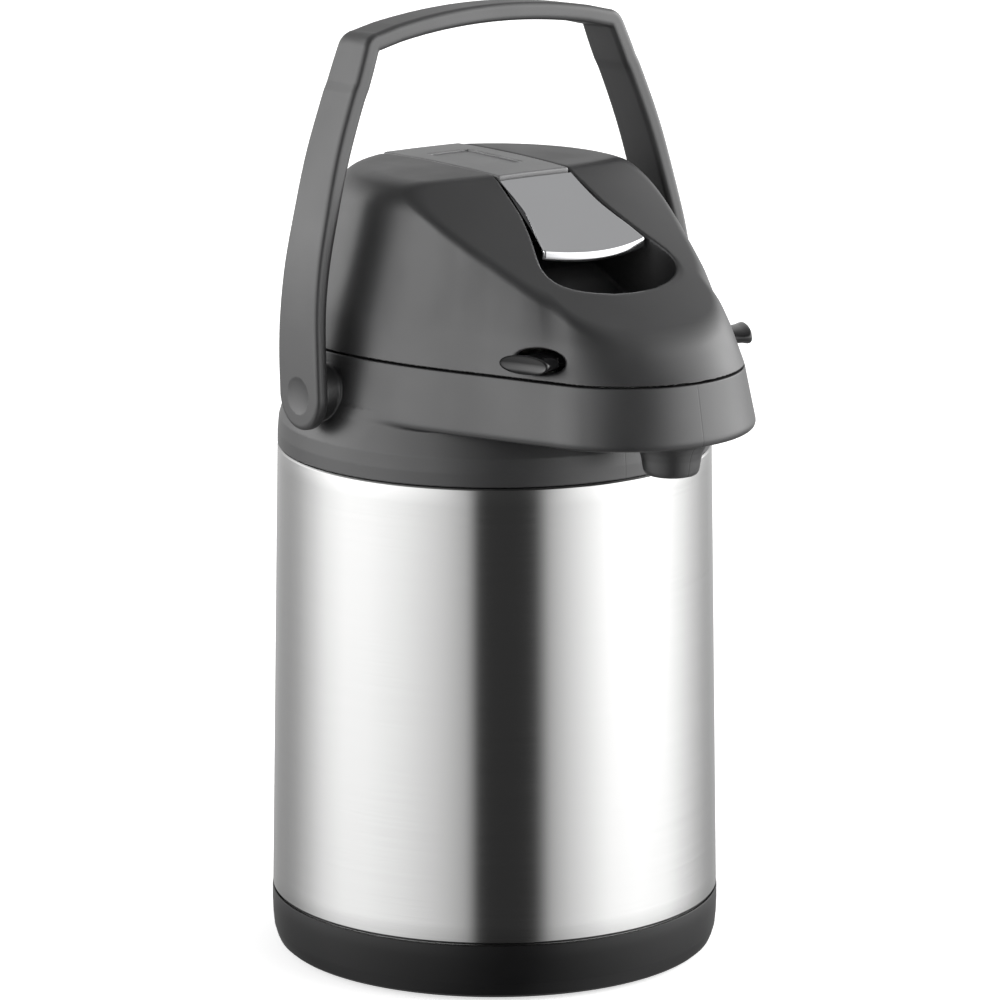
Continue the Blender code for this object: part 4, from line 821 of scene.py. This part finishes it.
# ------------------------------------------------------------------ latches
def latch_mesh(s):
    kx = np.array([r[0] for r in LATCH_ROWS])
    xs = np.concatenate([np.linspace(26.0, 35.0, 6), np.linspace(35.8, 48.25, 40)])
    hy = np.interp(xs, kx, [r[1] for r in LATCH_ROWS])
    hz = np.interp(xs, kx, [r[2] for r in LATCH_ROWS])
    for _ in range(1):
        hy[1:-1] = (hy[:-2] + 2 * hy[1:-1] + hy[2:]) / 4
        hz[1:-1] = (hz[:-2] + 2 * hz[1:-1] + hz[2:]) / 4
    m = 80
    a = 2 * math.pi * np.arange(m) / m
    ca, sa = np.cos(a), np.sin(a)
    rows = []

    def row(x, dy, dz):
        k = float(ease(36.0, 41.5, x))
        rows.append(np.stack([s * (x + k * LATCH_SLANT * dy), -82.0 - 1.1 * k + dy, 232.6 + dz], -1))

    for x, h1, h2 in zip(xs, hy, hz):
        flat = float(ease(38.0, 45.0, x))
        row(x, h1 * np.sign(ca) * np.abs(ca) ** (0.62 + 0.28 * flat), h2 * np.sign(sa) * np.abs(sa) ** (0.70 + 0.25 * flat))
    dy, dz = h1 * np.sign(ca) * np.abs(ca) ** 0.9, h2 * np.sign(sa) * np.abs(sa) ** 0.95
    for k in (0.985, 0.95, 0.88, 0.78, 0.65, 0.5, 0.34, 0.18, 0.02):          # dished end face
        row(48.25 + 0.08 * (k > 0.98) - (0 if k > 0.98 else 1.3 * (1 - k**2) ** 0.9), dy * k, dz * k)
    v = np.concatenate(rows)
    f = [tuple(q if s < 0 else q[::-1]) for q in grid_faces(len(rows), m)]
    n = len(rows)
    cap0, cap1 = tuple(range(m)), tuple(range((n - 1) * m, n * m))
    f += [cap0 if s > 0 else cap0[::-1], cap1[::-1] if s > 0 else cap1]
    # hook that grips the collar
    k = len(v)
    x0, x1 = sorted((s * 26.1, s * 28.9))
    hook = [(x, y, z) for x in (x0, x1) for y in (-87.9, -76.1) for z in (222.6, 233.0)]
    v = np.concatenate([v, hook])
    for q in ((0, 1, 3, 2), (4, 6, 7, 5), (0, 4, 5, 1), (2, 3, 7, 6), (0, 2, 6, 4), (1, 5, 7, 3)):
        f.append(tuple(k + i for i in q))
    return v, f


STEP = 0.85
v, q, n = nets(lid_f, (-75, -124, 217), (75, 86, 290), STEP, fine=((226.1, 237.6, 0.35),))
piece("lid_cover", v, q, M_CHARCOAL, n)
v, q, n = nets(collar_f, (-83, -126, 183), (83, 87, 229), STEP, fine=((185.2, 187.0, 0.3), (224.3, 226.3, 0.3)))
piece("collar", v, q, M_COLLAR, n)
v, q, n = nets(handle_f, (-87, -13, 198), (87, 19, 345), min(STEP, 1.2) * 0.9)
piece("handle", v, q, M_HANDLE, n)
v, q, n = nets(arm_f, (-20, -62, 258), (20, 49, 290), STEP * 0.62)
piece("lever_arm", v, q, M_STRIP, n)
v, f = plate_mesh()
piece("lever_plate", v, f, M_CHROME, sharp=35)
for s, side in ((-1, "left"), (1, "right")):
    v, f = latch_mesh(s)
    piece("latch_" + side, v, f, M_GLOSS, sharp=40)

# ------------------------------------------------------------------ studio: floor, soft light, camera
AZ = math.radians(-35.88)
cam = bpy.data.objects.new("camera", bpy.data.cameras.new("camera"))
bpy.context.scene.collection.objects.link(cam)
cam.location = (1.98573 * math.sin(AZ), -1.98573 * math.cos(AZ), 0.62512)
cam.rotation_euler = (math.radians(90 - 13.093), 0, AZ)
cam.data.lens = 204.08
cam.data.sensor_width = 36.0
cam.data.shift_x = 0.005365
cam.data.clip_end = 50
bpy.context.scene.camera = cam

floor_mesh = bpy.data.meshes.new("floor")
floor_mesh.from_pydata([(-6, -6, 0), (6, -6, 0), (6, 6, 0), (-6, 6, 0)], [], [(0, 1, 2, 3)])
floor = bpy.data.objects.new("floor", floor_mesh)
bpy.context.scene.collection.objects.link(floor)
fm, fkn, fb, fobj = start("floor_paper")
fkn.link(fkn.mix(fkn.noise(fobj, 3.0, 2.0), (0.88, 0.88, 0.88), (0.90, 0.90, 0.90)), fb.inputs["Base Color"])
fb.inputs["Roughness"].default_value = 0.9
fb.inputs["Specular IOR Level"].default_value = 0.1
fb.inputs["Emission Color"].default_value = (1, 1, 1, 1)
fb.inputs["Emission Strength"].default_value = 0.60
floor_mesh.materials.append(fm)
floor.visible_glossy = False
floor.visible_diffuse = False

world = bpy.data.worlds.new("studio")
bpy.context.scene.world = world
world.use_nodes = True
w = Nodes(world.node_tree)
bg = world.node_tree.nodes["Background"]
direction = w.new("ShaderNodeTexCoord").outputs["Generated"]


def dot(vec, axis):
    n = w.new("ShaderNodeVectorMath", operation="DOT_PRODUCT")
    w.link(vec, n.inputs[0])
    n.inputs[1].default_value = axis
    return n.outputs["Value"]


toward = dot(direction, (math.sin(AZ), -math.cos(AZ), 0))
right = dot(direction, (math.cos(AZ), math.sin(AZ), 0))
up = dot(direction, (0, 0, 1))
azimuth = w.math("DIVIDE", w.math("ARCTAN2", right, toward), math.pi)          # -1..1, 0 at the camera
elevation = w.math("MULTIPLY", w.math("ARCSINE", up), 180 / math.pi)


def ramp(value, stops):
    """Piecewise smooth function of azimuth, given as (degrees, radiance)."""
    n = w.new("ShaderNodeFloatCurve")
    c = n.mapping.curves[0]
    pts = [((a / 180 + 1) / 2, v / 4) for a, v in stops]
    while len(c.points) < len(pts):
        c.points.new(0.5, 0.5)
    for p, (a, v) in zip(c.points, pts):
        p.location = (a, v)
        p.handle_type = "VECTOR"
    n.mapping.update()
    w.link(w.math("MULTIPLY_ADD", value, 0.5, 0.5), n.inputs["Value"])
    return w.math("MULTIPLY", n.outputs[0], 4.0)


low_light = ramp(azimuth, [(-180, .50), (-160, .48), (-148, .45), (-135, .46), (-125, .56), (-111, .92), (-99, 1.35), (-85, 1.62), (-70, 1.60),
                           (-50, 1.38), (-32, 1.10), (-23, .95), (-15, .74), (-12.5, .52), (-8.5, .07), (-4, .045), (17, .045), (21, .08), (25, .34), (28, .66),
                           (31, .84), (40, 1.16), (52, 1.50), (62, 1.80), (80, 1.95), (100, 1.78), (113, 1.32), (127, 0.86), (140, 0.58), (150, 0.50), (180, 0.50)])
high_light = ramp(azimuth, [(-180, .50), (-158, .50), (-146, .74), (-134, 1.20), (-120, 1.90), (-105, 2.40), (-85, 2.60), (-65, 2.40), (-45, 1.90), (-30, 1.35),
                            (-20, .75), (-12, .30), (-6, .06), (12, .05), (20, .12), (30, .50), (40, 1.20), (52, 2.00), (65, 2.80), (85, 3.40), (105, 3.70),
                            (125, 3.50), (138, 2.40), (148, 1.10), (158, .54), (180, .50)])
over_light = ramp(azimuth, [(-180, 0.40), (-150, 0.32), (-120, 0.34), (-60, 0.20), (-15, 0.05), (15, 0.05), (60, 0.20), (120, 0.32), (148, 0.31), (180, 0.40)])
low_light = w.math("MULTIPLY", low_light, w.remap(elevation, -21, -9, 0.44, 1.16))
above = w.remap(elevation, -9, 5, 0, 1, True)
side_light = w.math("ADD", w.math("MULTIPLY", high_light, above), w.math("MULTIPLY", low_light, w.math("SUBTRACT", 1.0, above)))
in_side = w.math("MULTIPLY", w.remap(elevation, 20, 42, 1, 0, True), w.remap(elevation, -75, -45, 0, 1, True))
light = w.math("ADD", w.math("MULTIPLY", side_light, in_side), w.math("MULTIPLY", over_light, w.math("SUBTRACT", 1.0, in_side)))
flag = ramp(azimuth, [(-180, 0), (44, 0), (60, .4), (76, 1.2), (118, 1.4), (130, .5), (140, 0), (180, 0)])
flag = w.math("MULTIPLY", flag, w.math("MULTIPLY", w.remap(elevation, 14, 28, 0, 1, True), w.remap(elevation, 46, 58, 1, 0, True)))
light = w.math("MULTIPLY", w.math("ADD", light, flag), 1.3)
path = w.new("ShaderNodeLightPath")
strength = w.math("ADD", w.math("MULTIPLY", light, w.math("SUBTRACT", 1.0, path.outputs["Is Camera Ray"])), path.outputs["Is Camera Ray"])
w.link(strength, bg.inputs["Strength"])
bg.inputs["Color"].default_value = (1, 1, 1, 1)
bpy.context.scene.view_settings.view_transform = "Standard"
